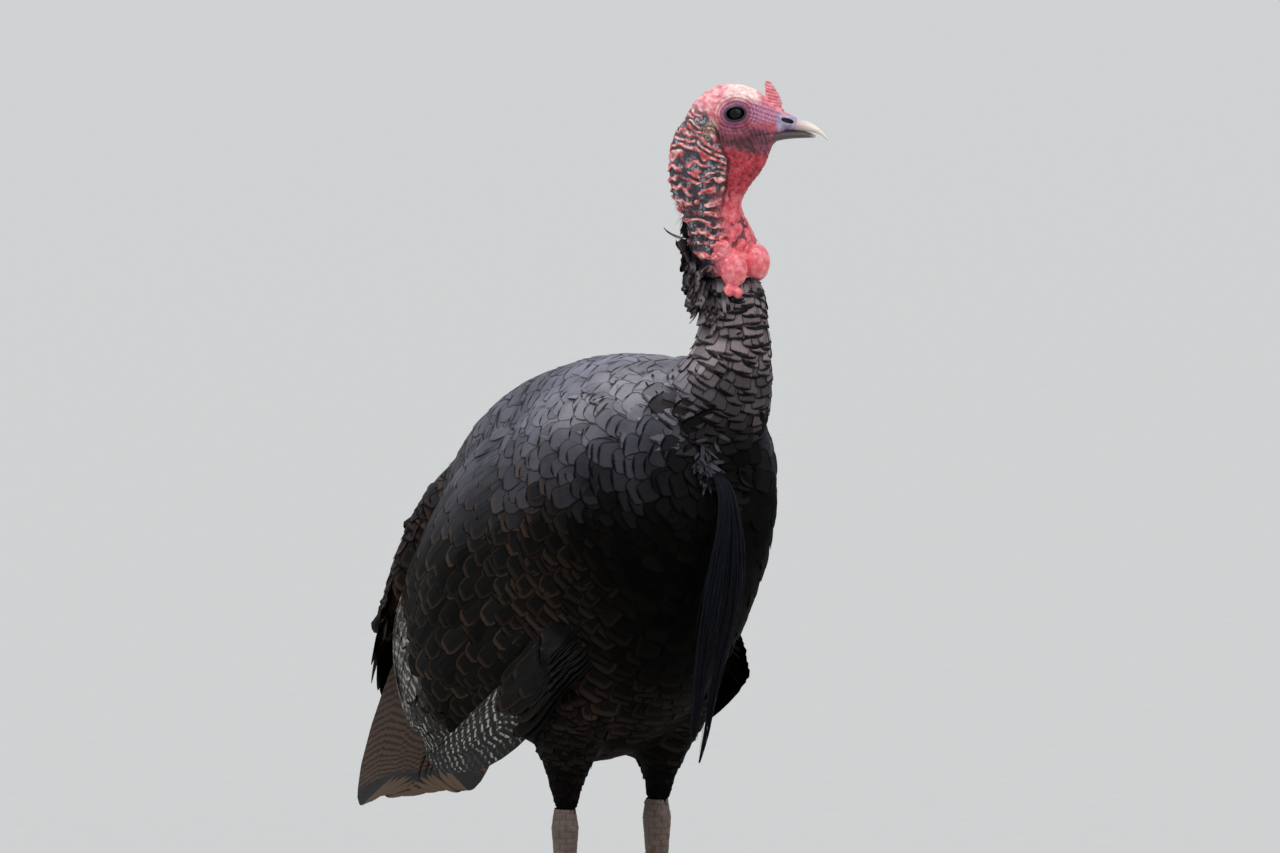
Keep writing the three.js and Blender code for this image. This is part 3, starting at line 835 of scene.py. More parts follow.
# ------------------------------------------------------------------ the bird's forms
@dataclass
class Forms:
    """The solids' own shapes, as lofts that the skin and the coat are laid over."""

    trunk: Loft = Loft.fan(
        [
            (21, 508, 27, 476, 26, 0.5), (4, 544, 26, 440, 57, 0.5), (-14, 568, 18, 400, 76, 0.5),
            (-44, 583, 0, 357, 92, 0.52), (-88, 590, -28, 308, 106, 0.54), (-135, 589, -60, 266, 113, 0.55),
            (-182, 581, -98, 232, 114, 0.57), (-228, 566, -142, 210, 112, 0.58),
            (-270, 547, -192, 201, 106, 0.59), (-307, 516, -242, 216, 96, 0.59),
            (-335, 475, -288, 256, 80, 0.58), (-352, 430, -320, 310, 56, 0.52),
            (-358, 400, -342, 356, 26, 0.5)
        ]
    )
    neck: Loft = Loft.level(
        [
            (-34, 6, 498, 0, 42, 60, 58), (-27, 9, 526, 0, 49, 72, 66), (-18, 11, 552, 0, 50, 65, 60),
            (-8, 14, 578, 0.05, 44, 50, 51), (0, 16, 603, 0.12, 40, 40, 39), (2, 16, 625, 0.2, 38, 37, 32),
            (0, 14, 647, 0.3, 37, 36, 34), (-3, 11, 667, 0.45, 34, 36, 34), (-3, 9, 683, 0.6, 30, 32, 28),
            (-3, 7, 699, 0.75, 28, 29, 24), (-6, 3, 714, HEAD_YAW, 25, 28, 22),
            (-8, -2, 727, HEAD_YAW, 25, 29, 22), (-8, -3, 740, HEAD_YAW, 29, 34, 23),
            (-6, -2, 756, HEAD_YAW, 32, 38, 24), (-3, -1, 774, HEAD_YAW, 34, 40, 24),
            (0, 0, 792, HEAD_YAW, 30, 38, 22), (3, 4, 808, HEAD_YAW, 24, 30, 17),
            (6, 7, 818, HEAD_YAW, 16, 20, 10)
        ]
    )
    tail: Loft = Loft.flat(
        [
            (-312, -2, 448, 1.1, 36, 8, 8), (-340, -2, 392, 1.13, 48, 9, 9), (-369, -2, 328, 1.15, 60, 8, 8),
            (-395, -2, 268, 1.16, 70, 6, 6), (-419, -2, 212, 1.17, 77, 4.5, 4.5),
            (-437, -2, 166, 1.18, 76, 2.5, 2.5), (-444, -2, 148, 1.18, 68, 1.2, 1.2)
        ]
    )
    rump: Loft = Loft.flat(
        [
            (-292, -2, 498, 0.95, 66, 8, 30), (-328, -3, 456, 1.05, 86, 20, 34),
            (-356, -4, 404, 1.12, 98, 26, 34), (-380, -5, 350, 1.16, 102, 20, 26),
            (-398, -6, 304, 1.18, 92, 11, 14), (-410, -7, 272, 1.18, 68, 3, 4)
        ]
    )
    vent: Loft = Loft.flat(
        [
            (-282, -2, 380, 1.1, 54, 16, 26), (-314, -3, 326, 1.14, 58, 14, 24),
            (-342, -4, 274, 1.16, 54, 10, 16), (-362, -5, 236, 1.17, 38, 4, 6)
        ]
    )
    beard: Loft = Loft.level(
        [
            (14, -13, 486, -0.25, 6, 6, 6), (28, -14, 470, -0.25, 6, 6, 9), (33, -15, 440, -0.25, 6, 6, 13),
            (31, -16, 405, -0.25, 6, 6, 18), (24, -17, 365, -0.25, 6, 6, 19),
            (14, -18, 325, -0.25, 5.5, 5.5, 15), (5, -19, 285, -0.25, 4.5, 4.5, 11),
            (-1, -20, 250, -0.25, 3.5, 3.5, 8), (-5, -20, 222, -0.25, 1.5, 1.5, 2)
        ]
    )

    def wing(self, side: float) -> Loft:
        """The folded wing on one side.

        Args:
            side: 1 on the left, -1 on the right.

        Returns:
            Its loft.
        """
        rows = [
            (-8, 506, -6, 484, 60, 9), (-26, 536, -12, 440, 81, 13), (-62, 556, -34, 392, 99, 15),
            (-108, 560, -64, 348, 111, 18), (-157, 549, -98, 312, 116, 18), (-206, 526, -138, 282, 115, 18),
            (-252, 492, -180, 258, 112, 16), (-294, 446, -220, 240, 107, 14), (-328, 394, -254, 226, 102, 11),
            (-350, 342, -280, 219, 98, 8), (-354, 296, -298, 216, 94, 5), (-336, 250, -308, 220, 92, 2.5)
        ]
        return Loft.lens(rows, side, 30.0)

    def primaries(self, side: float) -> Loft:
        """The long flight feathers that show below the folded wing.

        Args:
            side: 1 on the left, -1 on the right.

        Returns:
            Their loft.
        """
        rows = [
            (-110, 330, -96, 292, 110, 5), (-158, 306, -136, 254, 106, 6), (-206, 276, -182, 228, 100, 6),
            (-252, 248, -232, 208, 93, 5), (-292, 228, -280, 200, 87, 3.5), (-318, 214, -314, 200, 84, 1.5)
        ]
        return Loft.lens(rows, side, 60.0)

    def thigh(self, leg: "Leg") -> Loft:
        """The feathered upper leg."""
        end = leg.ankle - 0.05 * (leg.hip - leg.ankle)
        return Loft.limb(leg.hip, end, [44, 60, 60, 47, 31, 19, 14], 0.7)


@dataclass
class Toe:
    """One toe: its turn from the foot's heading, length and girth."""

    name: str
    turn: float
    length: float
    girth: float


@dataclass
class Leg:
    """Where a leg runs."""

    name: str
    side: float
    foot_x: float
    heading: float
    hip_x: float = -140.0
    ankle_x: float = -149.0
    toes: tuple[Toe, ...] = (
        Toe("inner", 0.6, 66, 6.6), Toe("middle", 0.0, 88, 7.2), Toe("outer", -0.6, 70, 6.4),
        Toe("hind", math.pi - 0.3, 36, 5)
    )

    @property
    def hip(self) -> Array:
        """Top of the thigh."""
        return np.array([self.hip_x, self.side * 58.0, 318.0])

    @property
    def ankle(self) -> Array:
        """Where the thigh's feathers end."""
        return np.array([self.ankle_x, self.side * 56.0, 162.0])

    @property
    def foot(self) -> Array:
        """Middle of the foot, on the floor."""
        return np.array([self.foot_x, self.side * 58.0, 0.0])


LEGS = (Leg("right", -1.0, -146.0, -0.1), Leg("left", 1.0, -154.0, 0.14, ankle_x=-152.0))


# ------------------------------------------------------------------ bare skin of the head and neck
@dataclass(frozen=True)
class Profile:
    """Numbers along an axis, drawn smoothly through a few stations (place, number, ...)."""

    rows: tuple[tuple[float, ...], ...]

    def at(self, place: Array) -> list[Array]:
        """The numbers at each place along the axis.

        Args:
            place: Places along the axis.

        Returns:
            One array for each number of a station.
        """
        last = len(self.rows) - 1
        fine = between(np.array(self.rows, dtype=float), np.linspace(0, last, 40 * last + 1))
        if fine[0, 0] > fine[-1, 0]:
            fine = fine[::-1]
        return [np.interp(place, fine[:, 0], numbers) for numbers in fine.T[1:]]

    def tube(self, along: Array, aside: Array, across: Array) -> Array:
        """Distance to a tube; its stations give its far side, its near side and its half-width.

        Args:
            along: Place along the axis.
            aside: Place to the side, from the middle.
            across: Place across, as the stations give their sides.

        Returns:
            The distances.
        """
        top, bottom, wide = self.at(along)
        half = (top - bottom) / 2
        return oval(aside, across - bottom - half, wide, half)


def oval(u: Array, v: Array, a: Array | float, b: Array | float) -> Array:
    """Distance to an ellipse with half-sizes a and b, close to exact near its edge.

    Args:
        u: Place across.
        v: Place up.
        a: Half-size across.
        b: Half-size up.

    Returns:
        The distances.
    """
    u = np.abs(u) + 1e-3
    reach = np.sqrt((u / a) ** 2 + (v / b) ** 2)
    slope = np.sqrt((u / a**2) ** 2 + (v / b**2) ** 2)
    return reach * (reach - 1.0) / (slope + 1e-9)


def ball(points: Array, centre: tuple[float, ...], sizes: tuple[float, ...]) -> Array:
    """Distance to an ellipsoid, close to exact near its surface.

    Args:
        points: Places, (..., 3).
        centre: Its centre.
        sizes: Its half-sizes.

    Returns:
        The distances.
    """
    p = points - np.array(centre) + 1e-3
    reach = np.linalg.norm(p / np.array(sizes), axis=-1)
    slope = np.linalg.norm(p / np.array(sizes) ** 2, axis=-1)
    return reach * (reach - 1.0) / (slope + 1e-9)


def swell(place: Array, gap: float) -> Array:
    """Waves from -1 to 1 whose crests are `gap` apart."""
    return np.cos(2 * np.pi * place / gap)


def bell(place: Array, width: float) -> Array:
    """A smooth bump, 1 high at place 0."""
    return np.exp(-((place / width) ** 2))


def grid_axes(low: Array, high: Array, step: float) -> list[Array]:
    """The grid's places along each axis, from its low corner to near its high one."""
    counts = np.round((high - low) / step).astype(int)
    return [low[k] + step * np.arange(counts[k]) for k in range(3)]


def grid_plane(x: float, axes: list[Array]) -> Array:
    """The grid's points with one x, (1, ny, nz, 3)."""
    return np.stack(np.meshgrid([x], axes[1], axes[2], indexing="ij"), axis=-1)


@dataclass(frozen=True)
class Lobe:
    """One big soft lobe at the foot of the bare neck."""

    turn: float
    size: tuple[float, float, float]
    height: float
    out: float


@dataclass
class BareSkin:
    """Head, throat, bare neck, snood and lobes as one skin, in the head's frame.

    The relief is added within `band` of the smooth form. The skin ends `foot` above the grid's
    low corner, inside the body's skin. `seam` is the line down the side between throat and nape,
    as heights and places forward.
    """

    step: float = 0.8
    low: tuple[float, float, float] = (-72.0, -50.0, -178.0)
    high: tuple[float, float, float] = (60.0, 54.0, 34.0)
    eye_wide: float = 8.4
    eye_tall: float = 5.9
    skull: Profile = Profile(
        (
            (-42, 2, -24, 9), (-34, 11.5, -27, 15), (-24, 19.5, -29, 18.5), (-12, 24, -31, 19.4),
            (0, 25.2, -32, 18), (12, 22.5, -31, 17.4), (22, 18.2, -29.5, 16), (31, 11.5, -27, 13.5),
            (39, 5.5, -24.5, 11), (46, 1.5, -22, 9)
        )
    )
    cere: Profile = Profile(
        ((34, 6, -15.6, 11), (40, 3.6, -15.6, 10.5), (48, -1.2, -15.9, 9.9), (58, -5.6, -16.2, 8.8))
    )
    throat: Profile = Profile(
        (
            (-20, 36, 4, 8), (-30, 33, -8, 13), (-41, 28.5, -14, 15), (-52, 23, -18, 14),
            (-63, 15.5, -20, 12), (-73, 7, -20, 10), (-82, 1, -18, 6)
        )
    )
    snood: Profile = Profile(
        (
            (3, 34, 7.5, 5.6), (9, 34.4, 7.6, 5.8), (15, 33.6, 6.4, 5), (21, 31.8, 4.8, 3.8),
            (26, 30, 3.2, 2.6), (29.5, 29, 1.2, 1)
        )
    )
    lobes: tuple[Lobe, ...] = (
        Lobe(-0.48, (12, 12.5, 16.5), 671, 34), Lobe(0.27, (12, 11.5, 15.5), 677, 34.5),
        Lobe(1.05, (11, 12, 15), 672, 29), Lobe(-0.78, (7.5, 7.5, 9), 688, 35),
        Lobe(-0.62, (6.5, 5.0, 5.5), 652, 38), Lobe(-0.42, (6.0, 4.5, 5.0), 650, 38.5)
    )
    axis: tuple[float, float] = (-3.0, 11.0)
    collar: float = 682.0
    collar_fall: float = 0.365
    tuck: float = 8.0
    band: float = 4.6
    foot: float = 4.0
    seam: tuple[tuple[float, ...], tuple[float, ...]] = (
        (-125, -100, -82, -61, -42, -27, -9, 8), (-22, -15, -11, -9, -6, -13, -20, -27)
    )

    def over_collar(self, p: Array) -> Array:
        """Height over the sloping line where the coat of the neck ends."""
        q = from_head(p)
        return q[..., 2] - self.collar + self.collar_fall * q[..., 0]

    def neck_place(self, points: Array, neck: Loft) -> tuple[Array, Array]:
        """Where head-frame points lie about the neck.

        Args:
            points: Points in the head's frame.
            neck: The neck's loft, in the maker's frame.

        Returns:
            Distance to the neck, and the points' angle from straight ahead.
        """
        table = neck.stations(np.linspace(0, 1, 400))
        yaw = np.arctan2(table[:, 7], table[:, 6])
        z = points[..., 2] + EYE_CENTRE[2]
        x, y, turn, wide, front, back = (
            np.interp(z, table[:, 2], column) for column in (table[:, 0], table[:, 1], yaw, *table[:, 9:12].T)
        )
        away = turned(points - to_head(np.stack([x, y, z], axis=-1)), HEAD_YAW - turn)
        ahead, aside = away[..., 0], away[..., 1]
        return oval(aside, ahead, wide, np.where(ahead > 0, front, back)), np.arctan2(aside, ahead)

    def lobe_distance(self, points: Array, lobe: Lobe) -> Array:
        """Distance to one lobe, which has a crease down its face if it is a tall one.

        Args:
            points: Places in the head's frame.
            lobe: The lobe.

        Returns:
            The distances.
        """
        turn = lobe.turn - HEAD_YAW
        centre = to_head(np.array([*self.axis, lobe.height])) + lobe.out * heading(turn)
        local = turned(points - centre, -turn)
        bow = local[..., 1] + 3.0 - 0.02 * (local[..., 2] - 4.0) ** 2
        crease = 1.5 * np.exp(-(bow**2) / 1.6) * ease(0.0, 5.0, local[..., 0])
        crease = crease * ease(-13.0, -3.0, local[..., 2]) * (lobe.size[2] > 14)
        return ball(local, (0.0, 0.0, 0.0), lobe.size) + crease

    def base(self, p: Array, neck: Loft) -> Array:
        """Distance to the smooth form, without its relief.

        Args:
            p: Places in the head's frame.
            neck: Loft of the neck.

        Returns:
            The distances.
        """
        x, y, z = p[..., 0], np.abs(p[..., 1]), p[..., 2]
        skull = soft_max(self.skull.tube(x, y, z), np.maximum(x - 44.0, -40.0 - x), 5.0)
        around, _ = self.neck_place(p, neck)
        around = soft_max(around, z - 6.0, 8.0)
        around = around + self.tuck * ease(1.0, -13.0, self.over_collar(p))
        cere = soft_max(self.cere.tube(x, y, z), np.maximum(x - 56.5 - 0.25 * z, 30.0 - x), 1.2)
        throat = soft_max(self.throat.tube(z, y, x), np.maximum(z + 22.0, -82.0 - z), 5.0)
        middle, reach, side = self.snood.at(z)
        snood = soft_max(oval(y, x - middle, side, reach), np.maximum(z - 28.6, 0.0 - z), 2.0)
        lid = ball(np.stack([x, y, z], axis=-1), (0.0, EYE_SPREAD, 0.0), (11.6, 10.3, 10.0))
        d = skull
        for part, fillet in ((around, 9.0), (throat, 7.0), (cere, 2.5), (snood, 3.0), (lid, 3.0)):
            d = soft_min(d, part, fillet)
        for lobe in self.lobes:
            d = soft_min(d, self.lobe_distance(p, lobe), 1.6)
        return soft_max(d, -np.maximum(self.eye_edge(x, z), 12.0 - y), 0.9)

    def eye_edge(self, x: Array, z: Array) -> Array:
        """Distance outside the opening of the eye, seen from the side."""
        return oval(x, z - 0.2 - 0.05 * x, self.eye_wide, self.eye_tall)

    def relief(self, p: Array, neck: Loft) -> dict[str, Array]:
        """How the skin stands out, and its markings, at points near it.

        Args:
            p: Points in the head's frame.
            neck: The neck's loft.

        Returns:
            "height" in millimetres, and marks from 0 to 1.
        """
        x, y, z = p[..., 0], np.abs(p[..., 1]), p[..., 2]
        _, angle = self.neck_place(p, neck)
        behind = ease(0.95, 1.75, np.abs(angle))
        waver = noise(p, 16.0, 3)
        edge = self.eye_edge(x, z)
        at_eye, at_nostril = ease(8.0, 12.0, y), ease(4.0, 6.0, y)
        near_eye = ease(17.0, 3.0, edge) * at_eye
        lobes = np.min([self.lobe_distance(p, lobe) for lobe in self.lobes], axis=0)
        on_lobe = ease(5.0, 2.6, lobes)
        on_snood = ease(2.0, 7.0, z + 0.55 * (x - 34.0)) * ease(22.0, 26.5, x) * ease(-4.0, 1.0, z)
        on_cere = ease(34.0, 40.0, x) * ease(-18.0, -14.0, z) * (1 - on_snood)
        seam = x - np.interp(z, *self.seam) + waver
        on_throat = ease(-27.0, -33.0, z) * ease(-90.0, -78.0, z) * ease(-1.0, 2.0, seam)
        on_head = ease(-36.0, -27.0, z + 0.25 * x)
        on_nape = ease(13.0, -1.0, z + 0.45 * (x + 34.0) + 2.0 * waver) * ease(1.0, -2.0, seam)
        lower = ease(-66.0, -82.0, z)
        on_front = lower * (1 - behind)
        on_back = np.maximum(on_nape, lower * behind)
        # nape: broken wavy ridges, with painted shade in the gaps between them
        fall = 0.45 * ease(-70.0, -15.0, z) * (x + 30.0) + 4.0 * waver + 3.2 * noise(p, 7.0, 5)
        depth = np.maximum(14.0 - z - fall, 0.0)
        wave = swell(np.log1p(0.0105 * depth), 0.0485)
        broken = ease(-0.66, -0.25, noise(p * np.array([1.0, 1.0, 0.7]), 9.0, 8))
        broken = broken * ease(-0.62, -0.2, noise(p, 5.0, 61))
        ridge = ease(-0.45, 0.4, wave + 0.6 * noise(p, 4.0, 9)) * broken
        beads = domes(p, 3.4, 11)
        small = domes(p, 2.3, 12)
        lumps = domes(p * np.array([1.0, 1.0, 0.62]), 6.2, 15, 0.72)
        rolls = domes(p * np.array([1.0, 1.0, 1.5]), 7.5, 16, 0.72)
        grain = noise(p, 1.9, 21)
        # oblique rows of pebbles on the throat
        pebbles = domes(np.stack([x + 0.6 * z, y, z * 0.8 - 0.5 * x], axis=-1), 2.5, 18)
        folds = swell(edge + 0.8 * noise(p, 6.0, 31), 3.1)
        wrinkle = swell(x + 0.35 * z + 3.0 * waver, 4.2)
        crown = ease(9.0, 17.0, z + 0.12 * x) * ease(-34.0, -26.0, x) * ease(27.0, 20.0, x)
        behind_eye = ease(-6.0, -12.0, x) * ease(-10.0, 4.0, z) * on_head
        cheek = ease(-6.0, -14.0, z + 0.1 * x) * on_head * ease(34.0, 28.0, x)
        lores = ease(10.0, 16.0, x) * ease(-12.0, -4.0, z) * ease(14.0, 8.0, z)
        lores = lores * (1 - on_snood) * ease(42.0, 36.0, x)
        bare = ease(-5.0, 2.0, self.over_collar(p))
        tall = (1.0 + 1.7 * ease(-10.0, -80.0, z)) * bare
        gully = bell(seam, 1.5) * ease(-8.0, -14.0, z) * ease(-96.0, -80.0, z)
        height = 0.18 * grain
        height += near_eye * (0.42 * folds + 0.8 * bell(edge - 0.9, 0.9))
        height += on_back * (tall * ridge * (0.45 + 0.85 * domes(p, 4.4, 62)) + 0.4 * small * (1 - ridge))
        height += on_front * (1 - on_lobe) * (2.1 * lumps + 0.4 * beads) * bare
        height += on_throat * (1 - lower) * (0.95 * pebbles + 0.9 * noise(p, 9.0, 41))
        height -= 1.5 * gully
        height += crown * (0.7 * beads + 0.5 * noise(p, 7.0, 42)) * (1 - 0.6 * near_eye)
        height += behind_eye * (0.7 * rolls + 0.35 * small) * (1 - near_eye)
        height += cheek * (0.45 * wrinkle + 0.35 * small) * (1 - near_eye)
        height += lores * (0.3 * small + 0.7 * swell(z + 0.35 * x + 2.6 * waver, 3.8))
        height += on_snood * (0.55 * swell(z + 0.25 * x + 0.8 * waver, 2.7) + 0.3 * grain)
        height += on_lobe * (0.35 * noise(p, 5.0, 44) + 0.15 * grain)
        # the corner of the mouth, and the nostril with its rim
        height -= 1.3 * bell(z + 19.0 + 0.1 * (30.0 - x), 1.1) * ease(17.0, 21.0, x) * ease(5.0, 8.0, y)
        nostril = oval(x - 47.0, z + 6.8 + 0.25 * (x - 47), 5.2, 1.7)
        height += 0.9 * (bell(nostril - 1.2, 1.0) * at_nostril) * ease(-9.0, -6.0, z)
        height -= 2.6 * ease(0.6, -0.6, nostril) * at_nostril
        # painted shade: darker in the creases, the gaps between lumps, pebbles and beads, the troughs of
        # folds and wrinkles, the nape's gaps and the gully
        crease = (
            on_back * (1 - ridge) * 0.3 + on_front * ease(0.55, 0.05, lumps) * (1 - on_lobe)
            + cheek * ease(-0.35, -0.95, wrinkle) * 0.45 + on_throat * ease(0.7, 0.1, pebbles) * 0.7
            + crown * ease(0.6, 0.1, beads) * 0.35 + near_eye * ease(0.2, -0.9, folds) * 0.8 + 0.85 * gully
        )
        # painted highlight: pale cream on the tops of the ridges and beads
        crest = ease(0.1, 0.8, wave * broken) * ease(-0.35, 0.25, noise(p, 4.0, 51)) * ease(0.2, 0.7, beads)
        return {
            "height": height, "nape": on_back, "ridge": ridge * on_back, "crest": on_back * crest,
            "flake": on_back * (1 - ridge) * ease(0.55, 0.95, small) * ease(-0.1, 0.45, noise(p, 6.0, 52)),
            "lumps": np.clip(on_front, 0, 1), "lobe": on_lobe, "snood": on_snood, "cere": on_cere,
            "lid": ease(8.0, 1.5, edge) * at_eye, "rim": ease(2.4, 0.9, edge) * at_eye, "crown": crown,
            "brow": behind_eye, "cheek": cheek,
            # painted shade on the lower cheek, under the head
            "jowl": cheek * ease(-13.0, -24.0, z + 2.0 * waver) * ease(24.0, 14.0, x), "lores": lores,
            "ear": ease(9.0, 4.0, np.hypot(x + 23.0, (z + 13.0) * 0.75)) * ease(6.0, 10.0, y),
            "throat": on_throat * (1 - lower), "crease": np.clip(crease, 0.0, 1.0),
            "jaw": ease(-15.0, -18.5, z + 0.10 * (x - 30.0)) * ease(-33.0, -26.0, z) * ease(12.0, 24.0, x),
            # painted shade inside the nostril
            "slit": ease(0.9, 0.0, nostril) * at_nostril,
            "foot": ease(-122.0, -140.0, z) * ease(2.4, 5.0, lobes) * (1 - behind)
        }

    def shell(self, neck: Loft) -> Shell:
        """The finished skin, in the maker's frame.

        Args:
            neck: Loft of the neck.

        Returns:
            The skin, with its marks.
        """
        low = np.array(self.low)
        axes = grid_axes(low, np.array(self.high), self.step)
        values = np.empty([len(axis) for axis in axes], dtype=np.float32)
        for i, x in enumerate(axes[0]):
            values[i] = self.base(grid_plane(x, axes), neck)[0]
        close = np.argwhere(np.abs(values) < self.band)
        points = low + self.step * close
        parts = np.array_split(points, max(1, len(points) // CHUNK))
        values[tuple(close.T)] -= np.concatenate([self.relief(part, neck)["height"] for part in parts])
        foot = self.low[2] + self.foot
        shell = surface_net(np.maximum(values, (foot - axes[2])[None, None, :]), low, self.step)
        shell.marks = self.relief(shell.points, neck)
        shell.marks.pop("height")
        shell.points = from_head(shell.points)
        return shell.outward()


# ------------------------------------------------------------------ body skin and the coat's ground
class Ground:
    """The skin under the coat, with a quick way to find its nearest point."""

    def __init__(self, points: Array, faces: list[Array]) -> None:
        """Stores a surface of triangles and quads, in the maker's frame, in millimetres.

        Args:
            points: Its points.
            faces: Its triangles and quads.
        """
        self.points = points
        polygons = [tuple(face) for block in faces for face in block.tolist()]
        self.tree = BVHTree.FromPolygons([tuple(p) for p in points.tolist()], polygons)

    def nearest(self, points: Array) -> tuple[Array, Array]:
        """Nearest surface points and the surface's normals there.

        Args:
            points: Places to start from.

        Returns:
            The surface points and the normals.
        """
        place, normal = np.empty_like(points), np.empty_like(points)
        for i, p in enumerate(points.tolist()):
            place[i], normal[i], _, _ = self.tree.find_nearest(p)
        return place, normal


@dataclass
class BodySkin:
    """Skin of the trunk, feathered neck, thighs and wing roots, under the coat."""

    forms: Forms
    depth: float = 8.0
    bridge: float = 12.0
    voxel: float = 3.0

    def shell(self) -> Shell:
        """One closed skin round all the feathered forms, its narrow grooves bridged.

        Returns:
            The skin.
        """
        f, out = self.forms, self.bridge - 2.0
        shells = [f.trunk.shell(70, 90, out), f.neck.shell(50, 60, out + 1.0, (0.0, 0.47))]
        shells += [f.rump.shell(30, 60, out), f.vent.shell(24, 50, out)]
        shells += [f.wing(side).shell(60, 60, out + 1.5) for side in SIDES.values()]
        shells += [f.thigh(leg).shell(30, 40, out + 2.0) for leg in LEGS]
        joined = Shell.joined([s.outward() for s in shells])
        triangles, quads = (
            np.vstack([face for face in joined.faces if face.shape[1] == corners]).astype(np.uint32)
            for corners in (3, 4)
        )
        points, quads = self.moved(joined.points, triangles, quads, 1.0)
        points, quads = self.moved(points, None, quads, -(self.depth + out + 1.0))
        return Shell(np.asarray(points, dtype=float), [np.asarray(quads, dtype=np.int64)]).outward()

    def moved(self, points: Array, triangles: Array | None, quads: Array, out: float) -> tuple[Array, Array]:
        """The outer surface of some closed meshes, moved out, as points and quads.

        Args:
            points: Points of the meshes.
            triangles: Their triangles.
            quads: Their quads.
            out: How far the surface moves out.

        Returns:
            Points and quads.
        """
        grid = vdb.FloatGrid.createLevelSetFromPolygons(
            points.astype(np.float32), triangles=triangles, quads=quads,
            transform=vdb.createLinearTransform(voxelSize=self.voxel), halfWidth=abs(out) / self.voxel + 3.0
        )
        return grid.convertToQuads(isovalue=out)


# ------------------------------------------------------------------ feathers
def unwrap(place: Array) -> Array:
    """Places on the body, cut open along the belly and laid flat, from 0 to 1 each way.

    Args:
        place: Places in the maker's frame.

    Returns:
        Two coordinates for each place.
    """
    angle = np.arctan2(place[:, 1], place[:, 2] - MIDDLE_HEIGHT) / (2 * np.pi) + 0.5
    along = np.clip((place[:, 0] + REAR) / LONG, 0, 1)
    return 0.01 + 0.97 * np.stack([along, angle], axis=1)


@dataclass(frozen=True)
class Cut:
    """The outline of a feather: how its half-width grows from the root and closes at the tip."""

    root: float
    tip: float
    blunt: float

    def width(self, t: Array) -> Array:
        """Share of the full half-width at each share of the length."""
        closing = np.clip((t - self.tip) / (1.002 - self.tip), 0, 1) ** self.blunt
        return ease(-0.25, self.root, t) * np.sqrt(np.clip(1.0 - closing, 0, 1))


@dataclass
class Roots:
    """Where feathers grow: places, ways they point, sizes and per-feather numbers."""

    place: Array
    way: Array
    length: Array
    width: Array
    marks: dict[str, Array]

    @classmethod
    def joined(cls, several: list["Roots"]) -> "Roots":
        """Several beds of roots as one.

        Args:
            several: The beds.

        Returns:
            The roots.
        """
        stacked = [
            np.concatenate([getattr(r, key) for r in several]) for key in ("place", "way", "length", "width")
        ]
        return cls(*stacked, stacked_marks([(r.marks, len(r.place)) for r in several]))

    def chosen(self, keep: Array) -> "Roots":
        """Only some of the roots."""
        marks = {name: numbers[keep] for name, numbers in self.marks.items()}
        return Roots(self.place[keep], self.way[keep], self.length[keep], self.width[keep], marks)


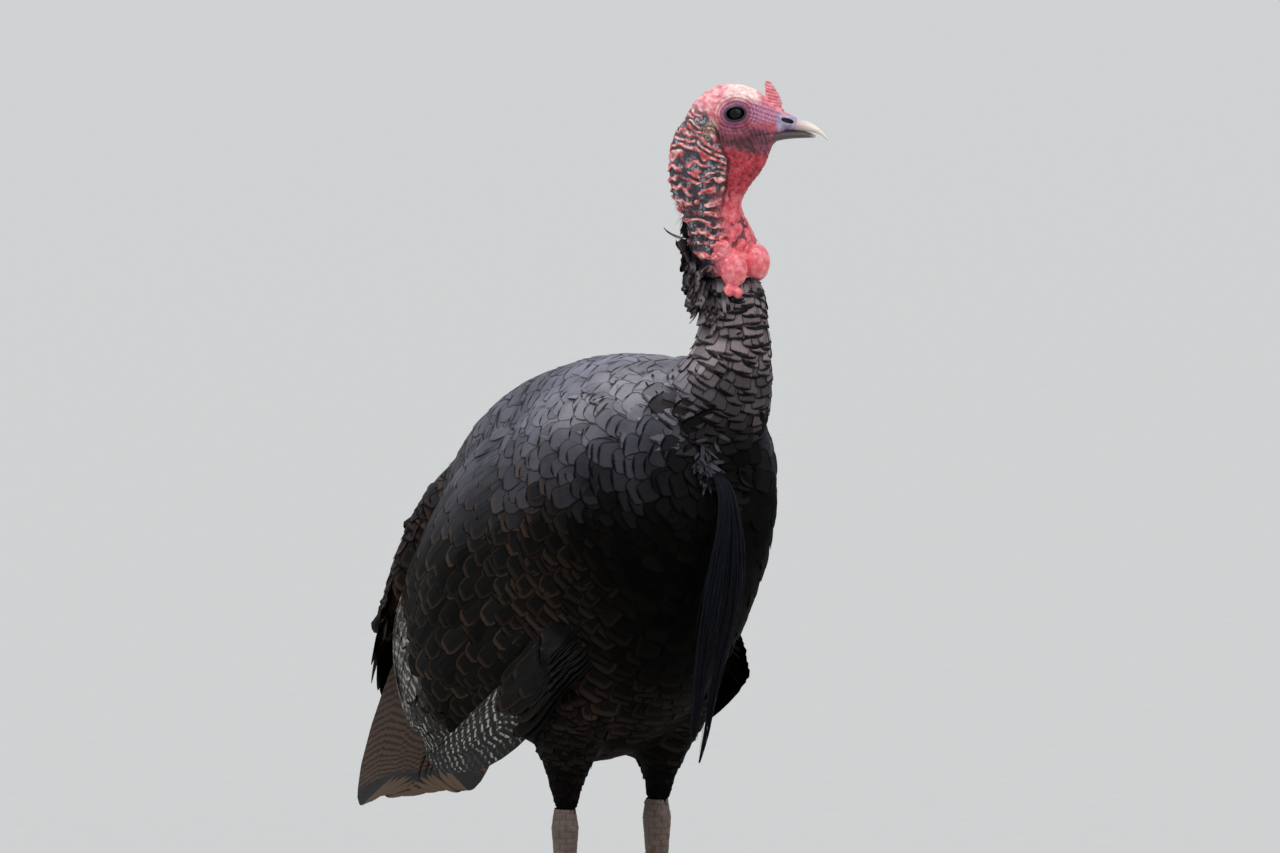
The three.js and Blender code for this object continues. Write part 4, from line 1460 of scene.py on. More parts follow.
@dataclass
class Coat:
    """Lays vanes over the ground, shingled, each one following the surface under it."""

    ground: Ground
    seed: int = 7
    rows: tuple[float, ...] = (0.0, 0.26, 0.5, 0.68, 0.82, 0.92, 0.975, 1.0)
    thick: float = 0.22
    samples: int = 160
    stray_across: float = 0.2
    stray_along: float = 0.24
    stray_turn: float = 0.10
    uneven_length: float = 0.10
    uneven_width: float = 0.08
    clearance: float = 1.0

    def bed(
        self, loft: Loft, span: tuple[float, float], arc: tuple[float, float], size: "Size",
        flow: Flow = Flow.ONWARD
    ) -> Roots:
        """Staggered rows of roots over a part of a loft.

        Args:
            loft: The form that they grow on.
            span: First and last place along the loft.
            arc: First and last angle round it, in radians.
            size: Spacing, length and width, which may change along the span.
            flow: Which way along the loft the feathers point.

        Returns:
            The roots that lie on the outside of the whole bird.
        """
        draw = np.random.default_rng(self.seed)
        self.seed += 1
        rows = []
        ring = np.linspace(arc[0], arc[1], self.samples)
        s = span[0]
        while s < span[1]:
            share = (s - span[0]) / (span[1] - span[0])
            line = loft.point(np.full(self.samples, s), ring)
            length = np.concatenate([[0], np.cumsum(np.linalg.norm(np.diff(line, axis=0), axis=1))])
            count = max(2, int(length[-1] / blend(size.columns, share)))
            stray = self.stray_across * draw.standard_normal(count)
            at = (np.arange(count) + 0.5 * (len(rows) % 2) + stray) / count
            at = at[(at >= 0) & (at <= 1)]
            angles = np.interp(at * length[-1], length, ring)
            rows.append([np.full(len(at), s), angles, np.full(len(at), share)])
            pace = loft.pace(np.full(9, s), np.linspace(arc[0], arc[1], 9))
            s += blend(size.rows, share) / float(np.median(pace))
        s, a, share = np.concatenate(rows, axis=1)
        s = s + self.stray_along * draw.standard_normal(len(s)) * blend(size.rows, share) / loft.pace(s, a)
        s = np.clip(s, 0.001, 0.999)
        outer = loft.point(s, a)
        ahead = unit(loft.point(s + STEP * flow.value, a) - loft.point(s - STEP * flow.value, a))
        place, normal = self.ground.nearest(outer)
        clear = dot(outer - place, normal)
        n = len(s)
        marks = {"rnd": draw.random(n)}
        length = blend(size.lengths, share) * (1 + self.uneven_length * scatter(draw, n))
        width = blend(size.widths, share) * (1 + self.uneven_width * scatter(draw, n))
        ahead = unit(ahead + np.cross(normal, ahead) * (self.stray_turn * scatter(draw, n))[:, None])
        outside = (clear > self.clearance) & (clear < size.reach)
        return Roots(place, ahead, length, width, marks).chosen(outside)

    def lay(
        self, roots: Roots, cut: Cut, lift: tuple[float, float], radius: float, curl: float = 0.0,
        bend: float = 0.2, unruly: float = 1.0
    ) -> Shell:
        """Makes every vane of a bed.

        Args:
            roots: Where they grow.
            cut: Their outline.
            lift: Height over the ground at the root and at the tip.
            radius: Radius that they are cupped to, across.
            curl: How far the tip bends away from the ground.
            bend: The most that a vane turns at each of its rows, in radians.
            unruly: How uneven heights and rolls are; 1 is neat.

        Returns:
            One shell with the marks u, w, rnd and the roots' own.
        """
        draw = np.random.default_rng(len(roots.place) + 17)
        n, t = len(roots.place), np.array(self.rows)
        line, face, ways = self.shafts(roots, t, bend)
        height = (blend(lift, t) + curl * t**3)[None, :] * (1 + 0.10 * unruly * scatter(draw, n)[:, None])
        side = unit(np.cross(face, ways))
        roll = 0.035 * unruly * scatter(draw, n)
        half = 0.5 * roots.width[:, None] * cut.width(t)[None, :] + 0.12
        half = half * (1 + 0.05 * draw.standard_normal((n, len(t))) * (t > 0.5))
        across = np.array([-1.0, -0.45, 0.45, 1.0, 0.45, -0.45])
        u = across[None, None, :4] * half[..., None]
        flat = line[:, :, None] + side[:, :, None] * u[..., None]
        under, out = (x.reshape(flat.shape) for x in self.ground.nearest(flat.reshape(-1, 3)))
        hold = ease(6.0, 2.5, np.abs(np.einsum("nrac,nrac->nra", flat - under, out)))[..., None]
        rise = height[..., None] + roll[:, None, None] * u
        laid = under + out * rise[..., None]
        free = flat + face[:, :, None] * (rise - u**2 / (2 * radius))[..., None]
        top = free + (laid - free) * hold
        top[:, :, [0, 3]] -= face[:, :, None] * (0.3 * self.thick)
        below = self.thick * (1 - 0.5 * t)[None, :, None, None]
        bottom = top[:, :, [2, 1]] - face[:, :, None] * below
        return self.strips(np.concatenate([top, bottom], axis=2), t, across, roots)

    def shafts(self, roots: Roots, t: Array, bend: float) -> tuple[Array, Array, Array]:
        """The shafts of a bed's feathers, followed over the ground from row to row.

        Args:
            roots: Where they grow.
            t: The rows, as shares of the length.
            bend: The most that a shaft turns at each row, in radians.

        Returns:
            Points, normals and ways at each row, each (feathers, rows, 3).
        """
        here, way = roots.place.copy(), roots.way.copy()
        _, normal = self.ground.nearest(here)
        made = [(here, normal, way)]
        for step in np.diff(t):
            target = here + way * (step * roots.length)[:, None]
            spot, found = self.ground.nearest(target)
            ahead = unit(0.3 * way + unit(spot - here))
            match = dot(ahead, way).clip(-1, 1)
            stiff = (match < math.cos(bend))[:, None]
            aside = unit(ahead - way * match[:, None])
            way = np.where(stiff, way * math.cos(bend) + aside * math.sin(bend), ahead)
            here = np.where(stiff, here + way * (step * roots.length)[:, None], spot)
            found = np.where(stiff, normal, normal * 0.5 + found)
            normal = unit(found - way * dot(found, way)[:, None])
            made.append((here, normal, way))
        line, face, ways = (np.stack(kind, axis=1) for kind in zip(*made))
        return line, face, ways

    def strips(self, grid: Array, t: Array, across: Array, roots: Roots) -> Shell:
        """Closed strips from a grid of rings, (feathers, rows, ring, 3), with their marks.

        Args:
            grid: The rings' points.
            t: Place of each row, from 0 at the root to 1 at the tip.
            across: Place of each ring point, from -1 to 1 across.
            roots: The feathers' roots.

        Returns:
            The shell.
        """
        n, rows, around = grid.shape[:3]
        index = np.arange(rows * around).reshape(rows, around)
        right = np.roll(index, -1, axis=1)
        quads = np.stack([index[:-1], right[:-1], right[1:], index[1:]], axis=-1).reshape(-1, 4)
        caps = np.array([[k, k + 1, around - 2 - k, around - 1 - k] for k in range(around // 2 - 1)])
        local = np.vstack([quads, index[0][caps][:, ::-1], index[-1][caps]])
        faces = (local[None] + (np.arange(n) * rows * around)[:, None, None]).reshape(-1, 4)
        own = {**roots.marks, "long": roots.length, "wide": roots.width}
        marks = {
            "u": np.broadcast_to(t[None, :, None], (n, rows, around)).ravel(),
            "w": np.broadcast_to(across[None, None, :], (n, rows, around)).ravel(),
            **{name: np.repeat(numbers, rows * around) for name, numbers in own.items()}
        }
        marks["brim"] = (np.abs(marks["w"]) > 0.99).astype(float)
        return Shell(grid.reshape(-1, 3), [faces], marks, self.patches(roots.place, grid.shape))

    def patches(self, place: Array, shape: tuple[int, ...]) -> Array:
        """A small square for each feather, at its root's place on an unwrap of the body.

        Args:
            place: Places of the roots.
            shape: How many feathers, rows and ring points.

        Returns:
            Two coordinates for each point.
        """
        n, rows, around = shape[:3]
        corner = unwrap(place)
        out = np.empty((n, rows, around, 2))
        out[..., 0] = corner[:, 0, None, None] + np.abs(np.linspace(-1, 1, around))[None, None, :] * PATCH
        out[..., 1] = corner[:, 1, None, None] + np.linspace(0, 1, rows)[None, :, None] * PATCH
        return out.reshape(-1, 2)


@dataclass(frozen=True)
class Size:
    """Spacing and size of a bed's feathers, each at its start and at its end."""

    rows: tuple[float, float]
    columns: tuple[float, float]
    lengths: tuple[float, float]
    widths: tuple[float, float]
    reach: float = 16.0


# ------------------------------------------------------------------ long quills
@dataclass
class Quill:
    """One long feather: its middle line, the way its face looks, and its half-widths."""

    line: Array
    face: Array
    left: float
    right: float
    cut: Cut
    rnd: float
    thick: float = 0.9

    def grid(self, t: Array) -> tuple[Array, Array]:
        """Rings of points along the quill, and how far across it each one is.

        Args:
            t: Places of the rings, from 0 at the root to 1 at the tip.

        Returns:
            The points, (rows, ring, 3), and the places across, from -1 to 1.
        """
        s = np.linspace(0, 1, len(self.line))
        line, face = (
            np.stack([np.interp(t, s, track[:, k]) for k in range(3)], axis=1)
            for track in (self.line, self.face)
        )
        face = unit(face)
        side = unit(np.cross(face, unit(np.gradient(line, axis=0))))
        across = np.array([-1.0, -0.55, -0.09, 0.0, 0.09, 0.55, 1.0, 0.55, 0.0, -0.55])
        rise = np.array([-0.5, 0.0, 0.15, 1.0, 0.15, 0.0, -0.5, -0.45, -0.9, -0.45])
        half = np.where(across > 0, self.right, self.left)[None, :] * self.cut.width(t)[:, None] + 0.3
        width = max(self.left, self.right)
        u = across[None, :] * half
        lift = rise[None, :] * self.thick * (1.0 - 0.65 * t)[:, None] - (u / width) ** 2 * 0.07 * width
        return line[:, None] + side[:, None] * u[..., None] + face[:, None] * lift[..., None], across


def smooth_line(points: list[Array], count: int) -> Array:
    """Catmull-Rom line through points, as `count` points."""
    return between(np.array(points, dtype=float), np.linspace(0, len(points) - 1, count))


def quill_face(loft: Loft, s: Array, turn: Array, line: Array, side: float) -> Array:
    """The way the face of a quill on a wing looks, at each point of its line.

    Args:
        loft: The wing form.
        s: Places along the loft.
        turn: Angles round it.
        line: The quill's points.
        side: 1 for the left wing, -1 for the right.

    Returns:
        Unit vectors, outwards.
    """
    across = loft.point(s, turn + 0.05) - loft.point(s, turn - 0.05)
    face = unit(np.cross(across, np.gradient(line, axis=0)))
    return face * np.sign(face[:, 1:2] * side + 1e-9)


def quill_shell(coat: Coat, quills: list[Quill], rows: int, marks: dict[str, Array]) -> Shell:
    """A set of quills as one shell.

    Args:
        coat: The coat that they belong to.
        quills: The quills.
        rows: How many rings each one has.
        marks: More marks, with a number for each quill.

    Returns:
        The shell.
    """
    t = 1.0 - (1.0 - np.linspace(0, 1, rows)) ** 1.5
    grids, across = zip(*(quill.grid(t) for quill in quills))
    grid = np.stack(grids)
    length = np.linalg.norm(np.diff(grid[:, :, 3], axis=1), axis=2).sum(axis=1)
    width = np.array([q.left + q.right for q in quills])
    named = {"rnd": np.array([q.rnd for q in quills]), **marks}
    roots = Roots(grid[:, 0].mean(axis=1), grid[:, 1, 3] - grid[:, 0, 3], length, width, named)
    return coat.strips(grid, t, across[0], roots)


# ------------------------------------------------------------------ bare legs and feet
@dataclass
class BareLeg:
    """Shank and toes of one leg as one scaly skin."""

    leg: Leg
    step: float = 1.0
    radius: float = 10.64
    sole: float = 0.7
    ring_gap: float = 4.2
    flare: tuple[float, ...] = (0.9, 1.32, 1.12, 0.98, 0.95, 1.0, 1.16, 1.2)

    def heading_of(self, toe: Toe) -> Array:
        """The way a toe points."""
        return heading(self.leg.heading - self.leg.side * toe.turn)

    def shank(self, p: Array) -> tuple[Array, Array, Array]:
        """Distance to the shank, the height along it from the foot, and the angle from its front.

        Args:
            p: Places in the maker's frame.

        Returns:
            Distances, heights and angles.
        """
        foot = self.leg.foot + np.array([0, 0, 10.0])
        top = self.leg.ankle + 0.1 * (self.leg.ankle - foot)
        span = float(np.linalg.norm(top - foot))
        axis = (top - foot) / span
        run = (p - foot) @ axis
        t = np.clip(run / span, 0.0, 1.0)
        away = p - foot - axis * (t * span)[..., None]
        deep = self.radius * np.interp(1 - t, np.linspace(0, 1, len(self.flare)), self.flare)
        u, v = away @ heading(self.leg.heading + math.pi / 2), away @ heading(self.leg.heading)
        d = soft_max(oval(u, v, 0.78 * deep, deep), np.maximum(run - span, -run - 4.0), 3.0)
        return d, t * span, np.arctan2(u, v)

    def toe(self, p: Array, toe: Toe) -> tuple[Array, Array, Array]:
        """Distance to a toe, how far a point is over its middle line, and the groove between its rings.

        Args:
            p: Places in the maker's frame.
            toe: The toe.

        Returns:
            Distances, heights and depths of the groove.
        """
        q = p - self.leg.foot
        run = q @ self.heading_of(toe)
        t = np.clip(run / toe.length, 0.0, 1.0)
        girth = toe.girth * (1 - 0.36 * t) * (1 + 0.12 * np.cos(t * 4 * math.pi))
        lift = 9.0 if toe.name == "hind" else 0.0
        over = q[..., 2] - (girth * self.sole + lift * (1 - t) ** 2)
        side = q @ heading(self.leg.heading - self.leg.side * toe.turn + math.pi / 2)
        reach = np.sqrt(side**2 + over**2 + (run - t * toe.length) ** 2) - girth
        return reach, over, np.clip(np.abs(np.sin(np.pi * run / self.ring_gap)) * 2.2, 0, 1)

    def shell(self) -> Shell:
        """The finished skin, in the maker's frame, flat where it stands on the floor.

        Returns:
            The skin, with its marks.
        """
        low = self.leg.foot + np.array([-48.0, -66.0, -3.0])
        axes = grid_axes(low, self.leg.foot + np.array([96.0, 66.0, 172.0]), self.step)
        values = np.empty([len(axis) for axis in axes], dtype=np.float32)
        for i, x in enumerate(axes[0]):
            p = grid_plane(x, axes)
            d, rise, angle = self.shank(p)
            d = d - 0.55 * self.plates(rise, angle * 9.0)
            for toe in self.leg.toes:
                reach, over, ring = self.toe(p, toe)
                pad = domes(p, 2.2, 61) * ease(0.0, -2.0, over) if self.step < 1.2 else 0.0
                d = soft_min(d, reach - 0.45 * (ring * ease(-2.0, 1.0, over)) - 0.3 * pad, 3.0)
            values[i] = np.maximum(d, -p[..., 2])[0]
        shell = surface_net(values, low, self.step)
        shell.points[:, 2] = np.maximum(shell.points[:, 2], 0.0)
        _, rise, angle = self.shank(shell.points)
        groove = 1 - self.plates(rise, angle * 9.0)
        high_up = ease(4.0, 26.0, rise)
        for toe in self.leg.toes:
            reach, over, ring = self.toe(shell.points, toe)
            near = ease(2.5, 1.0, reach) * (1 - high_up)
            groove = np.where(near > 0.5, (1 - ring) * ease(-2.0, 1.0, over), groove)
        shell.marks = {"groove": groove, "rise": np.clip(rise / 150.0, 0, 1)}
        return shell.outward()

    def plates(self, rise: Array, around: Array) -> Array:
        """Scutes: 1 on a plate, 0 in the groove between two.

        Args:
            rise: Heights along the shank.
            around: Places round it, from its front.

        Returns:
            The scutes' height, from 0 to 1.
        """
        row = rise / 5.6
        odd = np.floor(row) % 2
        in_front = ease(15.0, 13.0, np.abs(around)) > 0.5
        column = np.where(in_front, around / 9.5, around / 4.2) + 0.5 * odd
        row = np.where(in_front, row, rise / 3.2)
        fall, turn = (np.abs(place - np.round(place - 0.5) - 0.5) * 2 for place in (row, column))
        return ease(1.0, 0.78, np.maximum(fall, turn))


@dataclass
class Horn:
    """A curved cone of horn: a claw or a spur."""

    start: Array
    along: Array
    bend: Array
    length: float
    girth: float
    rings: int = 26
    sides: int = 20

    def shell(self) -> Shell:
        """A fine closed shell of it, kept above the floor.

        Returns:
            The shell.
        """
        t = np.linspace(0, 1, self.rings)
        line = self.start + self.along * (self.length * t)[:, None] + self.bend * (t**2)[:, None]
        side = unit(np.cross([0, 0, 1.0], self.along))
        up = unit(np.cross(self.along, side))
        angle = np.linspace(0, 2 * np.pi, self.sides, endpoint=False)
        girth = (self.girth * (1 - t) ** 0.7 + 0.45) * (1 + 0.02 * np.cos(24 * np.pi * t))
        ring = np.cos(angle)[:, None] * side + np.sin(angle)[:, None] * up
        grid = line[:, None] + ring[None] * girth[:, None, None]
        grid[..., 2] = np.maximum(grid[..., 2], 0.0)
        shell = Shell.tube(grid)
        shell.marks = {"u": np.concatenate([np.repeat(t, self.sides), [0.0, 1.0]])}
        return shell.outward()


# ------------------------------------------------------------------ bill and eyes
@dataclass
class Bill:
    """Upper and lower bill, in the head's frame."""

    upper: Profile = Profile(
        (
            (40, 0, -14.4, 5.6), (48, -4, -15.4, 6.2), (55.5, -5.6, -16.2, 8.5), (64, -7.4, -16.8, 7.4),
            (71, -10.8, -18, 5.8), (77, -15.4, -20.2, 4), (81.5, -20.6, -23.8, 2.2), (83.8, -24.6, -26, 0.9)
        )
    )
    lower: Profile = Profile(
        (
            (34, -16.2, -26.5, 9.6), (43, -15.6, -24.4, 8.6), (53, -15.8, -23.2, 7.4),
            (62, -16.6, -22.8, 5.8), (68.5, -18.4, -22.6, 3.8), (72.5, -20.6, -22.3, 1.6)
        )
    )

    def shell(self, profile: Profile, keel: float) -> Shell:
        """A closed shell through a profile's cross sections; `keel` sharpens the ridge.

        Args:
            profile: Its top, its bottom and its half-width along the bill.
            keel: How far the ridge is pinched, from 0 to 1.

        Returns:
            The shell.
        """
        x = np.linspace(profile.rows[0][0], profile.rows[-1][0], 60)
        top, bottom, wide = profile.at(x)
        angle = np.linspace(0, 2 * np.pi, 56, endpoint=False)
        c, s = np.cos(angle), np.sin(angle)
        half = (top - bottom)[:, None] / 2
        rise = np.sign(s) * np.abs(s) ** 0.9
        pinch = 1 - keel * np.clip(rise, 0, 1) ** 2
        y = wide[:, None] * np.sign(c) * np.abs(c) ** 0.85 * pinch
        z = bottom[:, None] + half + half * rise
        grid = np.stack([x[:, None] + 0 * y, y, z], axis=-1)
        shell = Shell.tube(grid)
        shell.marks = {"reach": shell.points[:, 0].copy(), "rise": shell.points[:, 2].copy()}
        shell.points = from_head(shell.points)
        return shell.outward()


@dataclass
class Eye:
    """One eyeball with its cornea."""

    side: float

    def shell(self) -> Shell:
        """A closed ball, a little fuller over the iris.

        Returns:
            The shell.
        """
        polar = np.linspace(0.02, np.pi - 0.02, 50)
        angle = np.linspace(0, 2 * np.pi, 64, endpoint=False)
        radius = (EYE_RADIUS - 0.15) * (1 + 0.02 * ease(0.75, 0.2, polar))
        out, ring = np.cos(polar) * radius, np.sin(polar) * radius
        away = np.broadcast_to(out[:, None] * self.side, (50, 64))
        grid = np.stack([ring[:, None] * np.cos(angle), away, ring[:, None] * np.sin(angle)], axis=-1)
        shell = Shell.tube(grid + LEFT * (self.side * EYE_SPREAD))
        shell.marks = {"gaze": np.concatenate([np.repeat(polar, 64), [0.0, np.pi]])}
        shell.points = from_head(shell.points)
        return shell.outward()


# ------------------------------------------------------------------ strands
def strands(lines: Array, girths: Array, sides: int = 4) -> Shell:
    """Tapered closed tubes along lines.

    Args:
        lines: Middle lines, (strands, points, 3).
        girths: Radius at each point, (strands, points).
        sides: Corners of a tube's section.

    Returns:
        One shell with the mark u along each strand.
    """
    n, rows = lines.shape[:2]
    along = unit(np.gradient(lines, axis=1))
    side = unit(np.cross(along, np.array([0.31, 0.93, 0.17])))
    up = np.cross(along, side)
    angle = np.linspace(0, 2 * np.pi, sides, endpoint=False)
    ring = np.cos(angle)[:, None] * side[:, :, None] + np.sin(angle)[:, None] * up[:, :, None]
    grid = lines[:, :, None] + girths[..., None, None] * ring
    tube = Shell.tube(grid[0])
    per = len(tube.points)
    points = np.concatenate([grid.reshape(n, -1, 3), lines[:, [0, -1]]], axis=1).reshape(-1, 3)
    starts = (np.arange(n) * per)[:, None, None]
    faces = [(face[None] + starts).reshape(-1, face.shape[1]) for face in tube.faces]
    u = np.tile(np.concatenate([np.repeat(np.linspace(0, 1, rows), sides), [0.0, 1.0]]), n)
    rnd = np.repeat(lattice(np.arange(n)[:, None] * [1, 3, 7], 5), per)
    patches = np.repeat(unwrap(lines[:, 0]), per, axis=0) + PATCH * np.stack([u, rnd % 1.0], axis=1)
    return Shell(points, faces, {"u": u, "rnd": rnd}, patches).outward()


@dataclass
class Beard:
    """The hanging beard: coarse bristles in two bundles."""

    loft: Loft
    count: int = 340
    girth: float = 0.42

    def shell(self) -> Shell:
        """All its bristles.

        Returns:
            The shell.
        """
        draw = np.random.default_rng(23)
        n = self.count
        radius = np.sqrt(draw.random(n)) * 0.95
        angle = draw.random(n) * 2 * np.pi
        t = np.linspace(0, 1, 18)
        u, v = radius * np.cos(angle), radius * np.sin(angle)
        bundle = np.where(u > 0.1, 1.0, 0.0)
        ends = np.where(bundle > 0, 0.995, 0.90) - 0.55 * draw.random(n) ** 2.2
        s = t[None, :] * ends[:, None]
        q = self.loft.stations(s)
        drift = 0.35 * draw.standard_normal(n)[:, None] * t[None, :] ** 1.5
        sway = 0.13 * np.sin(
            t[None, :] * (3 + 7 * draw.random(n)[:, None]) + 6.3 * draw.random(n)[:, None]
        ) * t[None, :]
        gather = 0.55 * bundle[:, None] - 0.45 * (1 - bundle)[:, None]
        share = t[None, :] ** 1.6
        u_all = u[:, None] * (1 - 0.5 * share) + gather * share + 0.5 * drift + sway
        v_all = v[:, None] * (0.62 - 0.25 * share) + 0.45 * drift[::-1] + sway[::-1] + 0.18 * gather * share
        reach = np.maximum(q[..., 10], 2.0)
        line = q[..., :3] + q[..., 3:6] * (u_all * np.maximum(q[..., 9], 2.0))[..., None]
        line = line + q[..., 6:9] * (v_all * reach)[..., None]
        girth = self.girth * (1 - 0.75 * t**2)[None, :] * (0.6 + 0.7 * draw.random(n))[:, None]
        return strands(line, girth)


# ------------------------------------------------------------------ finishes
@dataclass(frozen=True)
class FleshFinish:
    """Bare skin of the head, neck, snood and lobes."""

    rose: tuple[Colour, Colour] = ((0.36, 0.035, 0.06), (0.52, 0.10, 0.12))
    throat: tuple[Colour, Colour] = ((0.30, 0.008, 0.018), (0.56, 0.045, 0.065))
    cheek: tuple[Colour, Colour] = ((0.16, 0.022, 0.05), (0.36, 0.08, 0.13))
    # painted shade on the lower cheek
    jowl: tuple[Colour, Colour] = ((0.055, 0.008, 0.010), (0.15, 0.024, 0.03))
    lores: tuple[Colour, Colour] = ((0.30, 0.10, 0.21), (0.66, 0.26, 0.34))
    crown: tuple[Colour, Colour] = ((0.82, 0.45, 0.43), (0.95, 0.74, 0.69))
    brow: tuple[Colour, Colour] = ((0.58, 0.14, 0.17), (0.84, 0.42, 0.42))
    cere: tuple[Colour, Colour] = ((0.25, 0.20, 0.33), (0.46, 0.38, 0.52))
    ear: Colour = (0.62, 0.58, 0.42)
    # painted shade in the gaps between the nape's ridges
    ink: tuple[Colour, Colour] = ((0.010, 0.011, 0.016), (0.06, 0.07, 0.09))
    flake: Colour = (0.50, 0.52, 0.58)
    ridge: tuple[Colour, Colour] = ((0.44, 0.03, 0.04), (0.74, 0.17, 0.17))
    # painted highlight on the tops of the nape's ridges
    crest: Colour = (0.90, 0.62, 0.55)
    lumps: tuple[Colour, Colour] = ((0.52, 0.03, 0.05), (0.80, 0.15, 0.17))
    pale_blue: Colour = (0.50, 0.60, 0.74)
    snood: tuple[Colour, Colour] = ((0.62, 0.13, 0.17), (0.84, 0.34, 0.36))
    lobe: tuple[Colour, Colour] = ((0.72, 0.09, 0.115), (0.88, 0.24, 0.26))
    # painted shade in the skin's creases
    crease: Colour = (0.035, 0.002, 0.006)
    jaw: Colour = (0.045, 0.028, 0.035)
    lid: tuple[Colour, Colour] = ((0.10, 0.018, 0.07), (0.26, 0.07, 0.17))
    rim: Colour = (0.012, 0.006, 0.012)

    def material(self) -> bpy.types.Material:
        """The skin's colours from its marks, each one mottled, with painted shade in the creases, in the gaps
        of the nape, in the nostril and on the lower cheek, and painted highlights on the tops of the nape's
        ridges.

        Returns:
            The material.
        """
        g = Graph("bare_skin")
        fine = g.noise(900.0, 3.0)
        soft, sharp = g.noise(190.0, 4.0).ramp(0.36, 0.66), fine.ramp(0.38, 0.62)
        colour = g.layered(
            g.mix(soft, *self.rose), (g.mark("throat"), g.mix(soft, *self.throat)),
            (g.mark("cheek"), g.mix(soft, *self.cheek)), (g.mark("jowl"), g.mix(soft, *self.jowl)),
            (g.mark("lores"), g.mix(sharp, *self.lores)), (g.mark("crown"), g.mix(soft, *self.crown)),
            (g.mark("brow"), g.mix(soft, *self.brow)), (g.mark("cere"), g.mix(soft, *self.cere)),
            (g.mark("ear") * sharp, self.ear), (g.mark("nape"), g.mix(sharp, *self.ink)),
            (g.mark("flake") * 0.9, self.flake), (g.mark("ridge"), g.mix(soft, *self.ridge)),
            (g.mark("crest") * 0.75, self.crest), (g.mark("lumps"), g.mix(soft, *self.lumps)),
            (g.mark("foot") * soft, self.pale_blue), (g.mark("snood"), g.mix(soft, *self.snood)),
            (g.mark("lobe"), g.mix(soft, *self.lobe)), (g.mark("crease") * 0.9, self.crease),
            (g.mark("jaw") * sharp, self.jaw), (g.mark("lid"), g.mix(sharp, *self.lid)),
            (g.mark("rim"), self.rim), (g.mark("slit"), self.rim)
        )
        rough = 0.40 + 0.22 * fine - 0.10 * g.mark("lobe") - 0.08 * g.mark("rim")
        wet = 0.45 * g.mark("lobe") + 0.3 * g.mark("ridge") + 0.25 * g.mark("lumps")
        normal = g.bump(fine, 0.0004, 0.45)
        return g.finish(
            Base_Color=colour, Roughness=rough, Coat_Weight=wet.clip(), Coat_Roughness=0.28, Normal=normal
        )


@dataclass(frozen=True)
class DownFinish:
    """Dark downy skin under the coat, marked as the coat is."""

    black: tuple[Colour, Colour] = ((0.002, 0.0018, 0.0016), (0.008, 0.007, 0.006))
    # grey-blue painted sheen of the sky, laid where the feathers over it face up
    slate: Colour = (0.060, 0.058, 0.075)
    taupe: Colour = (0.050, 0.038, 0.038)
    bronze: Colour = (0.035, 0.018, 0.010)

    def material(self) -> bpy.types.Material:
        """The coat's markings and painted sheen on dark fluff, finely mottled.

        Returns:
            The material.
        """
        g = Graph("down")
        fluff = g.noise(420.0, 4.0)
        colour = g.layered(
            g.mix(fluff, *self.black), (g.mark("slate") * fluff, self.slate),
            (g.mark("taupe") * fluff, self.taupe), (g.mark("bronze") * fluff, self.bronze)
        )
        return g.finish(
            Base_Color=colour, Roughness=0.95, Specular_IOR_Level=0.05, Normal=g.bump(fluff, 0.001)
        )


@dataclass(frozen=True)
class ScaleFinish:
    """Scaly skin of the shanks and toes."""

    plate: tuple[Colour, Colour] = ((0.085, 0.050, 0.036), (0.17, 0.11, 0.085))
    groove: Colour = (0.035, 0.020, 0.016)
    dusk: Colour = (0.065, 0.040, 0.028)

    def material(self) -> bpy.types.Material:
        """Dusky pink plates with darker grooves, duller towards the ankle.

        Returns:
            The material.
        """
        g = Graph("leg_scales")
        wear = g.noise(140.0, 4.0)
        colour = g.layered(
            g.mix(wear.ramp(0.35, 0.65), *self.plate), (g.mark("rise").ramp(0.45, 1.0) * 0.6, self.dusk),
            (g.mark("groove") * 0.75, self.groove)
        )
        normal = g.bump(g.noise(1200.0, 2.0), 0.0002, 0.4)
        return g.finish(Base_Color=colour, Roughness=0.42 + 0.2 * wear, Normal=normal)


